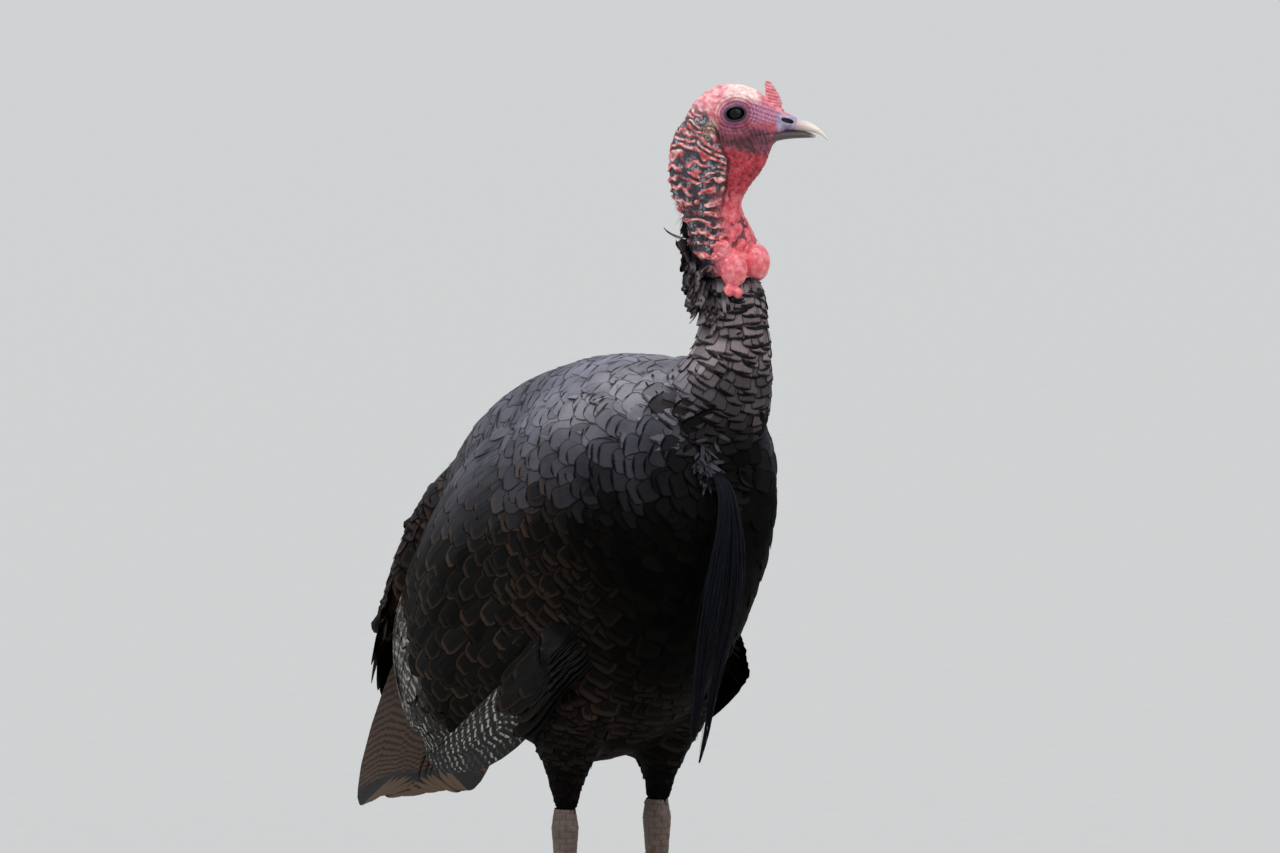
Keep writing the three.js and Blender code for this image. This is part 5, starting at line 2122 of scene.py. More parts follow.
@dataclass(frozen=True)
class PlumageFinish:
    """Body feathers: a grey-blue sheen painted above, bronze-brown on neck and wings, black below."""

    black: tuple[Colour, Colour] = ((0.0010, 0.0009, 0.0007), (0.0034, 0.003, 0.0022))
    slate: tuple[Colour, Colour] = ((0.068, 0.066, 0.088), (0.185, 0.18, 0.225))
    taupe: tuple[Colour, Colour] = ((0.045, 0.033, 0.034), (0.36, 0.28, 0.28))
    bronze: tuple[Colour, Colour] = ((0.026, 0.014, 0.009), (0.075, 0.042, 0.025))
    edge: Colour = (0.0025, 0.002, 0.0025)

    def material(self) -> bpy.types.Material:
        """Colours from each feather's marks, with barbs, shaft and a dark tip.

        Returns:
            The material.
        """
        g = Graph("plumage")
        u, w, rnd, long = g.mark("u"), g.mark("w"), g.mark("rnd"), g.mark("long")
        slate, taupe, bronze = g.mark("slate"), g.mark("taupe"), g.mark("bronze")
        side = abs(w)
        barbs = g.barbs(u * long + side * g.mark("wide") * -0.62, 0.85)
        ragged = g.noise(520.0, 3.0)
        cloud = g.noise(38.0, 3.0).ramp(0.35, 0.65)
        end = (1 - u) * long
        rim = (end.ramp(9.0, 5.0) + side.ramp(0.62, 0.85) * end.ramp(40.0, 12.0)).clip()
        tip = (end + (ragged - 0.5) * 2.4 - taupe).ramp(3.3, 1.4)
        flank = side.ramp(0.84, 0.98) * end.ramp(40.0, 20.0)
        tick = (w * (rnd * 2 - 1)).ramp(-0.25, 0.35) * slate
        line = ((tip + flank * 0.8).clip() * (1 - tick * 0.8)).clip()
        # the grey-blue layer is painted sheen of the sky on feathers that face up
        base = g.layered(
            g.mix(rnd, *self.black), (slate * u.ramp(0.1, 0.5), g.mix(rnd * 0.5 + cloud * 0.5, *self.slate)),
            (taupe * u.ramp(0.3, 0.6), g.mix((rnd + ragged) * 0.5, *self.taupe)),
            (bronze * rim * (0.35 + 0.65 * rnd), g.mix((rnd + ragged) * 0.5, *self.bronze)), (line, self.edge)
        )
        base = g.shade(base, 0.84 + 0.32 * barbs * (1 - line))
        shaft = (1 - side.ramp(0.0, 0.07)) * (1 - u.ramp(0.75, 0.95)) * (1 - slate)
        sheen = (slate + taupe * 0.45 + bronze * 0.25).clip() * 0.8 * (1 - line * 0.7)
        return g.finish(
            Base_Color=g.mix(shaft * 0.3, base, self.edge), Roughness=0.5 + 0.2 * ragged, Coat_Weight=sheen,
            Coat_Roughness=0.38, Specular_IOR_Level=0.015,
            Normal=g.bump(barbs * 0.5 + shaft * 0.6 + ragged * 0.4, 0.00016, 0.6)
        )


@dataclass(frozen=True)
class BarredFinish:
    """Flight feathers: black crossed by broken white bars, greyer and streaked where pale."""

    black: tuple[Colour, Colour] = ((0.004, 0.0035, 0.0035), (0.013, 0.011, 0.010))
    white: tuple[Colour, Colour] = ((0.20, 0.18, 0.15), (0.55, 0.52, 0.47))
    gap: float = 11.0

    def material(self) -> bpy.types.Material:
        """Bars slant with the barbs; the mark pale widens them into streaks.

        Returns:
            The material.
        """
        g = Graph("barred_quill")
        u, w, rnd, pale = g.mark("u"), g.mark("w"), g.mark("rnd"), g.mark("pale")
        side = abs(w)
        run = u * g.mark("long") - side * 7.0
        ragged = g.noise(260.0, 4.0)
        fine = g.noise(900.0, 2.0)
        patch = (g.noise(34.0, 2.0) + (ragged - 0.5) * 0.5 + pale * 0.06).ramp(0.44, 0.60)
        wave = ((run + (ragged - 0.5) * 8.0 + rnd * 9.0) * (2 * math.pi / self.gap)).sin()
        bars = (wave + pale * 0.3).ramp(0.35, 0.85)
        streak = ((w * 11.0 + (ragged - 0.5) * 6.0) * 5.0).sin().ramp(0.0, 0.7)
        shown = bars * (1 - pale) + (bars * 0.45 + streak * 0.55).clip() * pale
        shown = shown * side.ramp(0.03, 0.14) * (1 - side.ramp(0.80, 0.98)) * (0.10 + 0.90 * patch)
        barbs = g.barbs(run, 0.95)
        colour = g.mix(shown * (0.6 + 0.6 * fine), g.mix(rnd, *self.black), g.mix(ragged, *self.white))
        return g.finish(
            Base_Color=g.shade(colour, 0.8 + 0.4 * barbs), Roughness=0.5 + 0.15 * fine,
            Specular_IOR_Level=0.2, Normal=g.bump(barbs * 0.5 + (1 - side.ramp(0.0, 0.08)), 0.0003, 0.7)
        )


@dataclass(frozen=True)
class TailFinish:
    """Tail feathers: chestnut finely barred with black, a black band and a buff tip."""

    brown: tuple[Colour, Colour] = ((0.075, 0.032, 0.015), (0.15, 0.072, 0.034))
    black: Colour = (0.006, 0.005, 0.005)
    buff: Colour = (0.16, 0.095, 0.05)

    def material(self) -> bpy.types.Material:
        """Wavy bars along the quill, stronger away from the shaft.

        Returns:
            The material.
        """
        g = Graph("tail_quill")
        u, side = g.mark("u"), abs(g.mark("w"))
        ragged = g.noise(230.0, 4.0)
        run = u * g.mark("long") - side * 8.0 + (ragged - 0.5) * 6.0 + g.mark("rnd") * 8.0
        bars = (run * (2 * math.pi / 7.5)).sin().ramp(-0.15, 0.45)
        band = (u + (ragged - 0.5) * 0.02).ramp(0.84, 0.87) * (1 - (u - side * 0.01).ramp(0.945, 0.96))
        colour = g.layered(
            g.mix(ragged, *self.brown), (bars * 0.85, self.black), (band, self.black),
            (u.ramp(0.95, 0.965), self.buff)
        )
        normal = g.bump(g.barbs(run, 1.0) * 0.5 + (1 - side.ramp(0.0, 0.08)), 0.0003, 0.7)
        return g.finish(Base_Color=colour, Roughness=0.45 + 0.15 * ragged, Normal=normal)


@dataclass(frozen=True)
class BillFinish:
    """Horn of the bill: dusky at the gape, pinkish-grey, cream towards the tip."""

    dusk: Colour = (0.045, 0.030, 0.032)
    grey: Colour = (0.50, 0.38, 0.38)
    cream: Colour = (0.82, 0.72, 0.60)

    def material(self) -> bpy.types.Material:
        """Streaks along the horn, darker near its edge and root.

        Returns:
            The material.
        """
        g = Graph("bill_horn")
        reach = g.mark("reach")
        streak = g.noise(60.0, 4.0, (0.25, 0.25, 4.0))
        low = (g.mark("rise") + (reach - 40.0) * 0.13 + (streak - 0.5) * 7.0).ramp(-12.0, -15.5)
        colour = g.layered(
            g.mix(reach.ramp(52.0, 74.0), self.grey, self.cream),
            (low * (1 - reach.ramp(66.0, 76.0)) * 0.92, self.dusk),
            (streak.ramp(0.55, 0.75) * 0.35, self.dusk)
        )
        return g.finish(Base_Color=colour, Roughness=0.26 + 0.2 * streak, Normal=g.bump(streak, 0.0003, 0.5))


@dataclass(frozen=True)
class ClawFinish:
    """Dark horn of the claws and spurs."""

    dark: Colour = (0.022, 0.016, 0.015)
    pale: Colour = (0.10, 0.075, 0.06)

    def material(self) -> bpy.types.Material:
        """Darker at the tip, with growth lines.

        Returns:
            The material.
        """
        g = Graph("claw_horn")
        grain = g.noise(300.0, 4.0)
        colour = g.mix((g.mark("u") + (grain - 0.5) * 0.4).ramp(0.1, 0.7), self.pale, self.dark)
        return g.finish(Base_Color=colour, Roughness=0.3 + 0.2 * grain, Normal=g.bump(grain, 0.0002, 0.5))


@dataclass(frozen=True)
class EyeFinish:
    """Near-black eye: dark brown iris round the pupil, under a clear wet cornea."""

    pupil: Colour = (0.001, 0.001, 0.001)
    iris: tuple[Colour, Colour] = ((0.003, 0.0016, 0.0012), (0.010, 0.005, 0.0035))
    white: Colour = (0.012, 0.005, 0.006)

    def material(self) -> bpy.types.Material:
        """Rings by the angle from the middle of the pupil.

        Returns:
            The material.
        """
        g = Graph("eye")
        gaze = g.mark("gaze")
        colour = g.layered(
            self.pupil, (gaze.ramp(0.27, 0.31), g.mix(g.noise(700.0, 3.0), *self.iris)),
            (gaze.ramp(0.58, 0.64), self.pupil), (gaze.ramp(0.72, 0.9), self.white)
        )
        return g.finish(
            Base_Color=colour, Roughness=0.5, Specular_IOR_Level=0.0, Coat_Weight=0.45, Coat_Roughness=0.03
        )


@dataclass(frozen=True)
class BristleFinish:
    """Coarse bluish-black bristles."""

    root: Colour = (0.003, 0.003, 0.004)
    tip: Colour = (0.010, 0.011, 0.017)

    def material(self) -> bpy.types.Material:
        """Black, a little lighter along some strands.

        Returns:
            The material.
        """
        g = Graph("bristle")
        grain = g.noise(500.0, 3.0)
        colour = g.mix((g.mark("rnd") + grain) * 0.5, self.root, self.tip)
        normal = g.bump(grain, 0.0002, 0.5)
        return g.finish(
            Base_Color=colour, Roughness=0.5 + 0.15 * grain, Specular_IOR_Level=0.08, Normal=normal
        )


@dataclass(frozen=True)
class EarFinish:
    """Pale bristles over the ears."""

    pair: tuple[Colour, Colour] = ((0.28, 0.25, 0.16), (0.55, 0.50, 0.36))

    def material(self) -> bpy.types.Material:
        """Buff, mottled."""
        g = Graph("ear_bristle")
        return g.finish(Base_Color=g.mix(g.noise(400.0, 2.0), *self.pair), Roughness=0.6)


# ------------------------------------------------------------------ the bird, piece by piece
@dataclass
class Bird:
    """What every sub-assembly shares: the forms, the ground, the coat and where to put pieces."""

    offset: Array
    forms: Forms
    body: Shell
    coat: Coat
    plumage: bpy.types.Material
    bristle: bpy.types.Material
    triangles: int = 0

    def add(
        self, shell: Shell, name: str, slot: str, finishes: list[bpy.types.Material],
        nodes: tuple[str, ...] = ()
    ) -> None:
        """Makes a piece, in the row frame, riding on the body.

        Args:
            shell: Its mesh.
            name: Its name.
            slot: Not used.
            finishes: Its materials.
            nodes: The solids that it stands for.
        """
        piece = shell.to_object(name, self.offset, finishes)
        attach(piece, "root")
        if nodes:
            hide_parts(*nodes)
        count = sum(len(face) * (face.shape[1] - 2) for face in shell.faces)
        self.triangles += count
        log.info("%s: %d triangles", name, count)


def tones(place: Array, normal: Array) -> dict[str, Array]:
    """The coat's markings and its painted sheen by place, for skin and feathers alike.

    Args:
        place: Points in the maker's frame.
        normal: The surface's normals there.

    Returns:
        Marks from 0 to 1: a grey-blue sheen of the sky painted where the back and shoulders face up, taupe of
            the neck and bronze of the feather edges.
    """
    x, z = place[:, 0], place[:, 2]
    patchy = noise(place, 26.0, 71)
    neck = ease(505.0, 560.0, z - 0.35 * (x + 20.0) + 9 * patchy) * ease(-95.0, -50.0, x)
    # painted sheen: lighter and grey-blue where the feathers face up towards the sky
    up = ease(-0.35, 0.6, normal[:, 2] + 0.12 * patchy)
    back = up * ease(-50.0, 80.0, z - 500.0 - 0.2 * x + 12 * patchy) * ease(32.0, -22.0, x) * (1 - 0.2 * neck)
    rear = ease(-210.0, -310.0, x)
    wing = ease(-10.0, -110.0, x) * ease(0.75, 0.25, normal[:, 2]) * ease(170.0, 330.0, z)
    return {
        "slate": back * (1 - 0.7 * rear) * (1 - 0.45 * ease(-90.0, -150.0, x)) + 0.1 * neck,
        "taupe": neck * (0.85 + 0.15 * patchy) * (0.3 + 0.7 * ease(580.0, 612.0, z)),
        "bronze": np.clip(0.55 * wing + 0.3 * rear, 0, 1) * (1 - neck)
    }


@dataclass
class Bed:
    """Where one bed of contour feathers grows, and how they lie."""

    name: str
    loft: Loft
    span: tuple[float, float]
    arc: tuple[float, float]
    size: Size
    lift: tuple[float, float]
    radius: float
    cut: Cut = Cut(0.35, 0.64, 2.1)
    flow: Flow = Flow.ONWARD


@dataclass
class BodyCoat:
    """The contour feathers of neck, breast, back, rump, vent, thighs and wings.

    A place is filled where no feather's middle, `behind` of its length from the root, lies
    within `cover` of `gap`.
    """

    bird: Bird
    gap: float = 13.5
    cover: float = 0.92
    behind: float = 0.45
    block: int = 400

    def marked(self, roots: Roots) -> Roots:
        """The roots with the coat's markings and painted sheen added.

        Args:
            roots: The roots.

        Returns:
            The same roots with more marks.
        """
        _, normal = self.bird.coat.ground.nearest(roots.place)
        roots.marks.update(tones(roots.place, normal))
        return roots

    def beds(self) -> list[Bed]:
        """Every bed, in the order that they grow in.

        Returns:
            The beds.
        """
        f, pi = self.bird.forms, math.pi
        neck = Size((11.0, 7.5), (15, 10), (31, 17), (24, 15))
        breast = Size((11, 14), (13, 16), (30, 38), (21, 27))
        back = Size((12, 11), (14, 13), (36, 34), (24, 20))
        rump = Size((11, 12), (12, 15), (32, 44), (19, 24))
        vent = Size((14, 18), (15, 18), (44, 54), (24, 28))
        thigh = Size((12, 7), (13, 7), (32, 17), (19, 10))
        wing = Size((11, 15), (13, 19), (31, 48), (20, 28))
        pointed, blunt = Cut(0.3, 0.80, 3.0), Cut(0.3, 0.76, 2.6)
        made = [
            Bed("coat_neck", f.neck, (0.0, 0.60), (-pi, pi), neck, (0.3, 3.2), 45.0, pointed, Flow.BACKWARD),
            Bed("coat_breast", f.trunk, (0.035, 0.55), (-pi, pi), breast, (0.4, 3.8), 100.0, blunt),
            Bed("coat_back", f.trunk, (0.56, 0.97), (-pi, pi), back, (0.4, 3.4), 90.0),
            Bed("coat_rump", f.rump, (0.0, 0.62), (-0.2, pi + 0.2), rump, (0.4, 3.8), 110.0),
            Bed("coat_vent", f.vent, (0.0, 0.95), (-pi - 0.3, 0.3), vent, (0.4, 4.4), 80.0)
        ]
        for leg in LEGS:
            name = f"coat_thigh_{leg.name}"
            made.append(Bed(name, f.thigh(leg), (0.06, 0.97), (0, 2 * pi), thigh, (0.4, 3.4), 45.0))
        for name, side in SIDES.items():
            arc = (0.52 * pi, -0.5 * pi) if side > 0 else (0.48 * pi, 1.5 * pi)
            made.append(Bed(f"coat_wing_{name}", f.wing(side), (0.0, 0.74), arc, wing, (0.4, 3.8), 100.0))
        return made

    def build(self) -> None:
        """Makes each bed and then fills what they leave bare."""
        coat, skin = self.bird.coat, BareSkin()
        beds = self.beds()
        grown = [coat.bed(bed.loft, bed.span, bed.arc, bed.size, bed.flow) for bed in beds]
        grown[0] = grown[0].chosen(skin.over_collar(to_head(grown[0].place)) < -1.0)
        shapes = [(bed.name, bed.cut, bed.lift, bed.radius) for bed in beds]
        shapes.append(("coat_filling", Bed.cut, (0.4, 3.2), 90.0))
        grown.append(self.filling(Roots.joined(grown), skin))
        for (name, cut, lift, radius), roots in zip(shapes, grown):
            self.bird.add(
                coat.lay(self.marked(roots), cut, lift, radius), name, "plumage", [self.bird.plumage]
            )

    def filling(self, grown: Roots, skin: BareSkin) -> Roots:
        """Roots for the places that no bed has covered, pointing as their neighbours do.

        Args:
            grown: The roots of all beds.
            skin: The bare skin, which stays free of feathers.

        Returns:
            The added roots, each with its nearest neighbour's way and size.
        """
        draw = np.random.default_rng(91)
        points = self.bird.body.points
        hidden = skin.over_collar(to_head(points)) > -4.0
        # where the feather over a point would start, the neighbours' own roots lie behind it
        known = grown.place + grown.way * (self.behind * grown.length)[:, None]
        own = np.hstack([grown.way, grown.length[:, None], grown.width[:, None]])
        first = len(known)
        order = draw.permutation(len(points))
        for start in range(0, len(order), self.block):
            some = order[start : start + self.block]
            some = some[~hidden[some]]
            away = np.linalg.norm(points[some][:, None] - known[None], axis=2)
            near = away.argmin(axis=1)
            bare = away[np.arange(len(some)), near] > self.gap * self.cover
            chosen: list[int] = []
            for k in np.nonzero(bare)[0]:
                if all(np.linalg.norm(points[some[k]] - points[some[j]]) > self.gap for j in chosen):
                    chosen.append(int(k))
            known = np.vstack([known, points[some[chosen]]])
            own = np.vstack([own, own[near[chosen]]])
        way, length, width = own[first:, :3], own[first:, 3], own[first:, 4]
        place, _ = self.bird.coat.ground.nearest(known[first:] - way * (self.behind * length)[:, None])
        return Roots(place, way, length, width, {"rnd": draw.random(len(place))})


@dataclass
class Wings:
    """Flight feathers of both folded wings, and the rows of coverts over their roots."""

    bird: Bird
    secondaries: int = 11
    primaries: int = 8
    dive: float = 7.5
    covert_rows: int = 12
    covert_ends: tuple[float, float] = (0.42, 0.76)
    bridges: tuple[tuple[float, float], ...] = ((0.30, 1.6), (0.18, 2.0), (0.08, 2.2))
    own: Array = field(default_factory=lambda: np.linspace(0, 1, 9))

    def turn(self, side: float, angle: Array) -> Array:
        """An angle round the left wing, as the one that mirrors it on the given side."""
        return angle if side > 0 else math.pi - angle

    def quills(
        self, loft: Loft, side: float, arc: tuple[float, float], count: int, spans: tuple[float, ...],
        half: float, rise: float
    ) -> list[Quill]:
        """Quills that run along a wing form.

        Args:
            loft: The form.
            side: 1 for the left wing, -1 for the right.
            arc: First and last angle round the form, in half turns.
            count: How many.
            spans: Where the first quill starts and ends along the loft, and the last one.
            half: Half-width of a quill.
            rise: How much higher each quill lies than the one before.

        Returns:
            The quills, lowest first.
        """
        made = []
        for k, angle in enumerate(self.turn(side, np.linspace(arc[0] * math.pi, arc[1] * math.pi, count))):
            share = k / (count - 1)
            s = np.linspace(blend(spans[::2], share), blend(spans[1::2], share), 9)
            turn = np.full(9, angle)
            line = loft.point(s, turn, (0.4 + rise * k + self.dive) * ease(0.0, 0.5, self.own) - self.dive)
            face = quill_face(loft, s, turn, line, side)
            made.append(Quill(line, face, half, half, Cut(0.3, 0.88, 2.6), (k * 0.37) % 1.0))
        return made

    def covert_lines(self, side: float, draw: np.random.Generator) -> list[tuple[Array, Array, float]]:
        """Line, face and half-width of the coverts over the secondaries' roots, rearmost first.

        Args:
            side: 1 on the left, -1 on the right.
            draw: Where the random numbers come from.

        Returns:
            One of these for each covert.
        """
        pi, wing, own, made = math.pi, self.bird.forms.wing(side), self.own, []
        for row, share in enumerate(np.linspace(1, 0, self.covert_rows)):
            end = blend(self.covert_ends, share)
            angles = np.linspace(-0.47 * pi, 0.36 * pi, 14 + int(4 * share))
            angles += 0.5 * (row % 2) * (angles[1] - angles[0]) + 0.03 * draw.standard_normal(len(angles))
            for angle in angles:
                s = end + 0.012 * draw.standard_normal() - (0.12 + 0.07 * share) * (1 - own)
                over = -5.6 + 7.4 * ease(0.36, 0.68, s) - 2.0 * ease(0.22 * pi, 0.36 * pi, angle)
                over += 1.7 * ease(0.5, 1.0, own) - 5.0 * (
                    1 - ease(0.0, 0.5, own)
                ) + 0.35 * draw.standard_normal()
                turn = np.full(9, self.turn(side, angle))
                line = wing.point(s, turn, over)
                under, out = self.bird.coat.ground.nearest(line)
                excess = dot(line - under, out) - 1.8 - 14.0 * ease(0.38, 0.66, s)
                line = line - out * np.maximum(excess, 0.0)[:, None]
                made.append((line, quill_face(wing, s, turn, line, side), 9.5 + 2.5 * share))
        return made

    def bridge_lines(self, side: float, draw: np.random.Generator) -> list[tuple[Array, Array, float]]:
        """The same for the coverts that lead from the wing to the primaries' roots.

        Args:
            side: 1 on the left, -1 on the right.
            draw: Where the random numbers come from.

        Returns:
            One of these for each covert.
        """
        flight, made = self.bird.forms.primaries(side), []
        for row, (reach, out) in enumerate(self.bridges):
            for share in np.linspace(0, 1, 8 + row):
                angle = (-0.42 + 0.8 * share) * math.pi
                s = np.array([0.02, 0.5 * reach, reach + 0.03 * draw.standard_normal()]).clip(0, 1)
                line = flight.point(s, np.full(3, self.turn(side, angle)), out)
                first = line[0] + np.array([30.0, -side * 6.0, 24.0 + 4.0 * row])
                spots, facing = self.bird.coat.ground.nearest(np.array([first, 0.5 * (first + line[0])]))
                line = smooth_line([spots[0] - facing[0], spots[1] + 2.0 * facing[1], *line], 9)
                lean = ease(0.0, 0.5, self.own)[:, None]
                face = unit(facing[0] * (1 - lean) + np.array([0.0, side, 0.12]) * lean)
                made.append((line, face, 11.0))
        return made

    def coverts(self, side: float) -> Shell:
        """Rounded dark feathers that hide the roots of the flight feathers of one wing.

        Args:
            side: 1 on the left, -1 on the right.

        Returns:
            The shell.
        """
        draw = np.random.default_rng(33)
        quills = []
        for line, face, half in self.covert_lines(side, draw) + self.bridge_lines(side, draw):
            rnd = float(draw.random())
            left = half * (1 + 0.08 * draw.standard_normal())
            quills.append(Quill(line, face, left, half, Cut(0.3, 0.78, 2.3), rnd, 0.4))
        marks = tones(
            np.array([quill.line[4] for quill in quills]), np.array([quill.face[4] for quill in quills])
        )
        marks["bronze"] = np.clip(0.15 + marks["bronze"], 0, 1) * (0.4 + 0.6 * draw.random(len(quills)))
        return quill_shell(self.bird.coat, quills, 12, marks)

    def build(self) -> None:
        """Both sides."""
        bird = self.bird
        barred = [BarredFinish().material()]
        for name, side in SIDES.items():
            wing, flight = bird.forms.wing(side), bird.forms.primaries(side)
            quills = self.quills(
                wing, side, (-0.42, 0.36), self.secondaries, (0.56, 0.97, 0.62, 1.0), 14.5, 0.28
            )
            pale = ease(0.25, 0.8, np.linspace(0, 1, self.secondaries))
            shell = quill_shell(bird.coat, quills, 22, {"pale": pale})
            bird.add(shell, f"secondaries_{name}", "barred_quills", barred)
            quills = self.quills(
                flight, side, (-0.36, 0.33), self.primaries, (0.0, 0.93, 0.03, 1.0), 10.5, 0.2
            )
            shell = quill_shell(bird.coat, quills, 22, {"pale": np.zeros(self.primaries)})
            bird.add(shell, f"primary_quills_{name}", "barred_quills", barred, (f"primaries_{name}",))
            bird.add(self.coverts(side), f"long_coverts_{name}", "plumage", [bird.plumage])


@dataclass
class Tail:
    """The folded tail and the long dark coverts on its root."""

    bird: Bird
    count: int = 18
    half: float = 24.0
    arch: float = 12.0

    def build(self) -> None:
        """The fan, then its coverts."""
        bird = self.bird
        s = np.linspace(0, 1, 9)
        q = bird.forms.tail.stations(s)
        draw = np.random.default_rng(31)
        quills = []
        for share in sorted(np.linspace(-1, 1, self.count), key=lambda place: -abs(place)):
            across = share * np.maximum(q[:, 9] - self.half * s, 4.0) + draw.normal(0, 0.8)
            depth = (q[:, 10] + q[:, 11]) * (0.45 - 0.9 * abs(share))
            over = depth - self.arch * (across / ARCH_SPAN) ** 2 + 0.25 * (share > 0)
            line = q[:, :3] + q[:, 3:6] * across[:, None] + q[:, 6:9] * over[:, None]
            end = 1.0 - 0.035 * abs(share) - 0.02 * draw.random()
            line = smooth_line([line[0] + (p - line[0]) * end for p in line], len(s))
            face = unit(q[:, 6:9] + q[:, 3:6] * (0.10 * share))
            quills.append(Quill(line, face, self.half, self.half, Cut(0.55, 0.9, 2.4), float(draw.random())))
        fan = quill_shell(bird.coat, quills, 26, {})
        bird.add(fan, "tail_fan", "tail_quills", [TailFinish().material()], ("tail",))
        size = Size((17, 20), (19, 24), (62, 66), (30, 34), 24.0)
        roots = BodyCoat(bird).marked(bird.coat.bed(bird.forms.rump, (0.60, 0.92), (0.0, math.pi), size))
        roots.marks["bronze"] = roots.marks["bronze"] * 0.6
        shell = bird.coat.lay(roots, Cut(0.35, 0.78, 2.6), (1.0, 8.0), 90.0, curl=2.0, bend=0.09)
        bird.add(shell, "long_tail_coverts", "plumage", [bird.plumage])


@dataclass
class Tufts:
    """Feathers that stand out: the ruff behind the neck and the ruffled places."""

    bird: Bird
    nape: Ground
    down: tuple[float, float, float] = (-0.25, 0.0, -1.0)

    def patch(
        self, centre: tuple[float, ...], reach: float, count: int, seed: int, way: tuple[float, ...],
        wide: float = 0.0
    ) -> Roots:
        """Scattered roots round a place, all pointing much the same way.

        Args:
            centre: The place, in the maker's frame.
            reach: How far they scatter round it.
            count: How many.
            seed: For their random numbers.
            way: Where they point.
            wide: How much wider than a wisp each one is.

        Returns:
            The roots, with the coat's markings.
        """
        draw = np.random.default_rng(seed)
        around = np.array(centre) + reach * draw.standard_normal((count, 3)) * np.array([0.6, 0.6, 0.8])
        place, normal = self.nape.nearest(around)
        ahead = np.array(way) + 0.5 * draw.standard_normal((count, 3))
        ahead = unit(ahead - normal * dot(ahead, normal)[:, None])
        marks = {"rnd": draw.random(count), **tones(place, normal)}
        marks["taupe"] = marks["taupe"] * 0.8
        # a little painted sheen on every tuft
        marks["slate"] = np.full(count, 0.3)
        length = 13 + 9 * draw.random(count) + 0.6 * wide
        return Roots(place, ahead, length, 2.0 + 2.4 * draw.random(count) + wide, marks)

    def build(self) -> None:
        """All of the tufts as one piece."""
        mane = Roots.joined(
            [
                self.patch((-34, -4, 678), 12.0, 60, 50, self.down, 9.5),
                self.patch((-18, -22, 660), 10.0, 60, 54, self.down, 9.5)
            ]
        )
        ruff = self.patch((-40, 4, 684), 12.0, 80, 51, self.down)
        notch = self.patch((10, -28, 640), 6.5, 60, 52, (0.0, -0.35, -1.0))
        breast = self.patch((24, -22, 500), 7.0, 110, 53, (0.3, -0.3, -1.0))
        coat, loose, cut = self.bird.coat, Coat(self.nape), Cut(0.25, 0.45, 1.7)
        shells = [
            loose.lay(mane, Cut(0.3, 0.7, 2.4), (1.0, 10.0), 22.0, curl=2.0, unruly=1.4),
            loose.lay(ruff, cut, (1.0, 6.0), 30.0, curl=2.0, unruly=1.8),
            coat.lay(notch, cut, (2.0, 5.0), 30.0, curl=1.5, bend=0.15, unruly=2.0),
            coat.lay(breast, cut, (2.0, 6.0), 40.0, curl=2.0, bend=0.15, unruly=2.0)
        ]
        self.bird.add(Shell.joined(shells), "ruffled_tufts", "plumage", [self.bird.plumage])


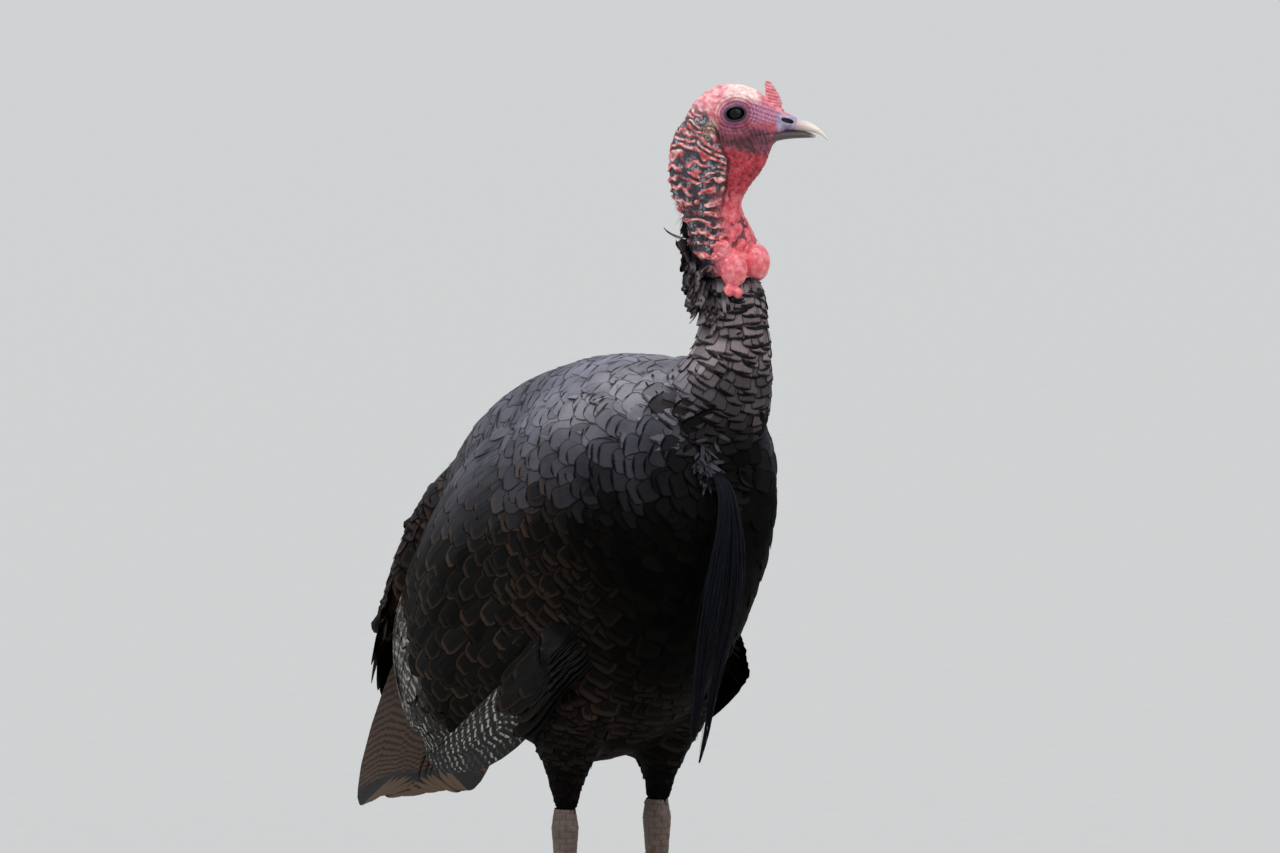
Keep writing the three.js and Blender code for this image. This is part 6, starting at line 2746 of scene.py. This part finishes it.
@dataclass
class HeadPieces:
    """Bill, eyes and bristles."""

    bird: Bird
    bare: Shell

    def build(self) -> None:
        """Adds each of them."""
        bird, bill = self.bird, Bill()
        horn = [BillFinish().material()]
        for name, profile, keel in (("upper", bill.upper, 0.35), ("lower", bill.lower, 0.0)):
            bird.add(bill.shell(profile, keel), f"horn_bill_{name}", "bill_horn", horn, (f"bill_{name}",))
        eye = [EyeFinish().material()]
        for name, side in SIDES.items():
            bird.add(Eye(side).shell(), f"ball_{name}", "eye", eye, (f"eye_{name}",))
        bird.add(self.bristles(), "neck_bristles", "bristle", [bird.bristle])
        bird.add(self.ear_tufts(), "ear_bristles", "bristle", [EarFinish().material()])

    def hairs(self, spots: Array, out: Array, lean: Array, length: Array, girth: float) -> Shell:
        """Fine curved bristles.

        Args:
            spots: Where they grow.
            out: The way out of the skin there, and how much they follow it.
            lean: The way they bend towards.
            length: Their lengths.
            girth: Radius at the root.

        Returns:
            All of them as one shell.
        """
        t = np.linspace(0, 1, 7)
        line = spots[:, None] + unit(out + lean)[:, None] * (t[None, :] * length[:, None])[..., None]
        line = line + unit(lean)[:, None] * (0.35 * t[None, :] ** 2 * length[:, None])[..., None]
        return strands(line, girth * (1 - 0.85 * t)[None, :] * np.ones((len(spots), 1)))

    def chosen(self, weight: Array, count: int, draw: np.random.Generator) -> Array:
        """Numbers of some of the skin's points, drawn by weight."""
        return draw.choice(len(weight), count, replace=False, p=weight / weight.sum())

    def outwards(self, spots: Array) -> Array:
        """Rough outward directions on the neck and head.

        Args:
            spots: Places on the skin.

        Returns:
            Level unit vectors.
        """
        table = self.bird.forms.neck.stations(np.linspace(0, 1, 200))
        centre = np.stack([np.interp(spots[:, 2], table[:, 2], table[:, k]) for k in (0, 1)], axis=1)
        away = np.zeros_like(spots)
        away[:, :2] = spots[:, :2] - centre
        return unit(away)

    def bristles(self) -> Shell:
        """Sparse black bristles, most of them low on the back of the neck.

        Returns:
            The shell.
        """
        draw = np.random.default_rng(41)
        points, marks = self.bare.points, self.bare.marks
        place = to_head(points)
        over = BareSkin().over_collar(place)
        weight = marks["nape"] * ease(60.0, 5.0, over) * (over > 0) + 0.03 * (over > 0)
        weight = weight * (1 - marks["lobe"]) * (1 - marks["lid"]) * (place[:, 0] < 34)
        chosen = self.chosen(weight, 260, draw)
        spots = points[chosen]
        out = self.outwards(spots)
        lean = np.tile([-0.1, 0.0, -1.1], (len(spots), 1)) + 0.35 * draw.standard_normal((len(spots), 3))
        length = 3.0 + 7.0 * ease(40.0, 5.0, over[chosen]) + 2.0 * draw.random(len(spots))
        return self.hairs(spots - out * 0.6, out * 0.8, lean, length, 0.26)

    def ear_tufts(self) -> Shell:
        """Short pale bristles over each ear.

        Returns:
            The shell.
        """
        draw = np.random.default_rng(43)
        spots = self.bare.points[self.chosen(np.clip(self.bare.marks["ear"], 0, 1) ** 2, 190, draw)]
        out = heading(HEAD_YAW + math.pi / 2) * np.sign(to_head(spots)[:, 1:2])
        lean = np.array([0, 0, -0.9]) - heading(HEAD_YAW) + 0.25 * draw.standard_normal((len(spots), 3))
        return self.hairs(spots - out * 0.4, out * 0.35, lean, 3.0 + 2.5 * draw.random(len(spots)), 0.24)


@dataclass
class Feet:
    """The scaly skin of both legs, and the claws and spurs that grow from it."""

    bird: Bird
    fine: float
    claw: float = 15.0
    hind_claw: float = 11.0
    spur: float = 23.0

    def skins(self) -> list[Shell]:
        """The scaly skin of both legs."""
        return [BareLeg(leg, self.fine).shell() for leg in LEGS]

    def build(self) -> None:
        """Every claw and spur."""
        dark = [ClawFinish().material()]
        for leg in LEGS:
            bare = BareLeg(leg)
            for toe in leg.toes:
                along = bare.heading_of(toe)
                start = leg.foot + along * (toe.length - 3) + np.array([0, 0, 4.4])
                length = self.hind_claw if toe.name == "hind" else self.claw
                horn = Horn(start, along, np.array([0, 0, -3.6]), length, toe.girth * 0.5)
                name = f"{leg.name}_{toe.name}"
                self.bird.add(horn.shell(), f"horn_claw_{name}", "claw_horn", dark, (f"claw_{name}",))
            along = heading(leg.heading + math.pi + leg.side * 0.45)
            start = leg.foot + 0.32 * (leg.ankle - leg.foot) + along * 5
            horn = Horn(start, along, np.array([0, 0, 4.0]), self.spur, 5.0)
            self.bird.add(horn.shell(), f"horn_spur_{leg.name}", "claw_horn", dark, (f"spur_{leg.name}",))


def flesh_nodes(names: list[str]) -> tuple[str, ...]:
    """The solids that the one skin stands for.

    Args:
        names: Names of all the solids.

    Returns:
        The names of those of flesh.
    """
    kinds = ("trunk", "neck", "head", "throat", "snood", "caruncle", "thigh", "shank", "toe")
    kinds += ("wing", "tail_coverts", "undertail")
    return tuple(name for name in names if name.startswith(kinds))


def main() -> None:
    """Builds the bird and its room."""
    logging.basicConfig(level=logging.INFO, format="%(message)s")
    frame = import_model()
    eyes = [np.array(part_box(f"eye_{name}")).mean(axis=0) for name in SIDES]
    offset = np.mean(eyes, axis=0) / MM - EYE_CENTRE
    Room().build(offset)
    forms = Forms()
    body = BodySkin(forms).shell()
    coat = Coat(Ground(body.points, body.faces))
    bird = Bird(offset, forms, body, coat, PlumageFinish().material(), BristleFinish().material())
    body.marks = tones(*coat.ground.nearest(body.points))
    bare = BareSkin(step=0.75).shell(forms.neck)
    feet = Feet(bird, 1.0)
    legs = feet.skins()
    skin = Shell.joined([bare, body, *legs])
    counts = [len(bare.points), len(body.points), sum(len(leg.points) for leg in legs)]
    skin.marks["slot"] = np.repeat([0.0, 1.0, 2.0], counts)
    finishes = [FleshFinish().material(), DownFinish().material(), ScaleFinish().material()]
    bird.add(skin, "skin", "bare_skin", finishes, flesh_nodes(list(frame["nodes"])))
    BodyCoat(bird).build()
    Wings(bird).build()
    Tail(bird).build()
    nape = Shell.joined([bare, body])
    Tufts(bird, Ground(nape.points, nape.faces)).build()
    HeadPieces(bird, bare).build()
    feet.build()
    bird.add(Beard(forms.beard).shell(), "beard_bristles", "bristle", [bird.bristle], ("beard",))
    log.info("%d triangles in all", bird.triangles)


if __name__ == "__main__":
    main()
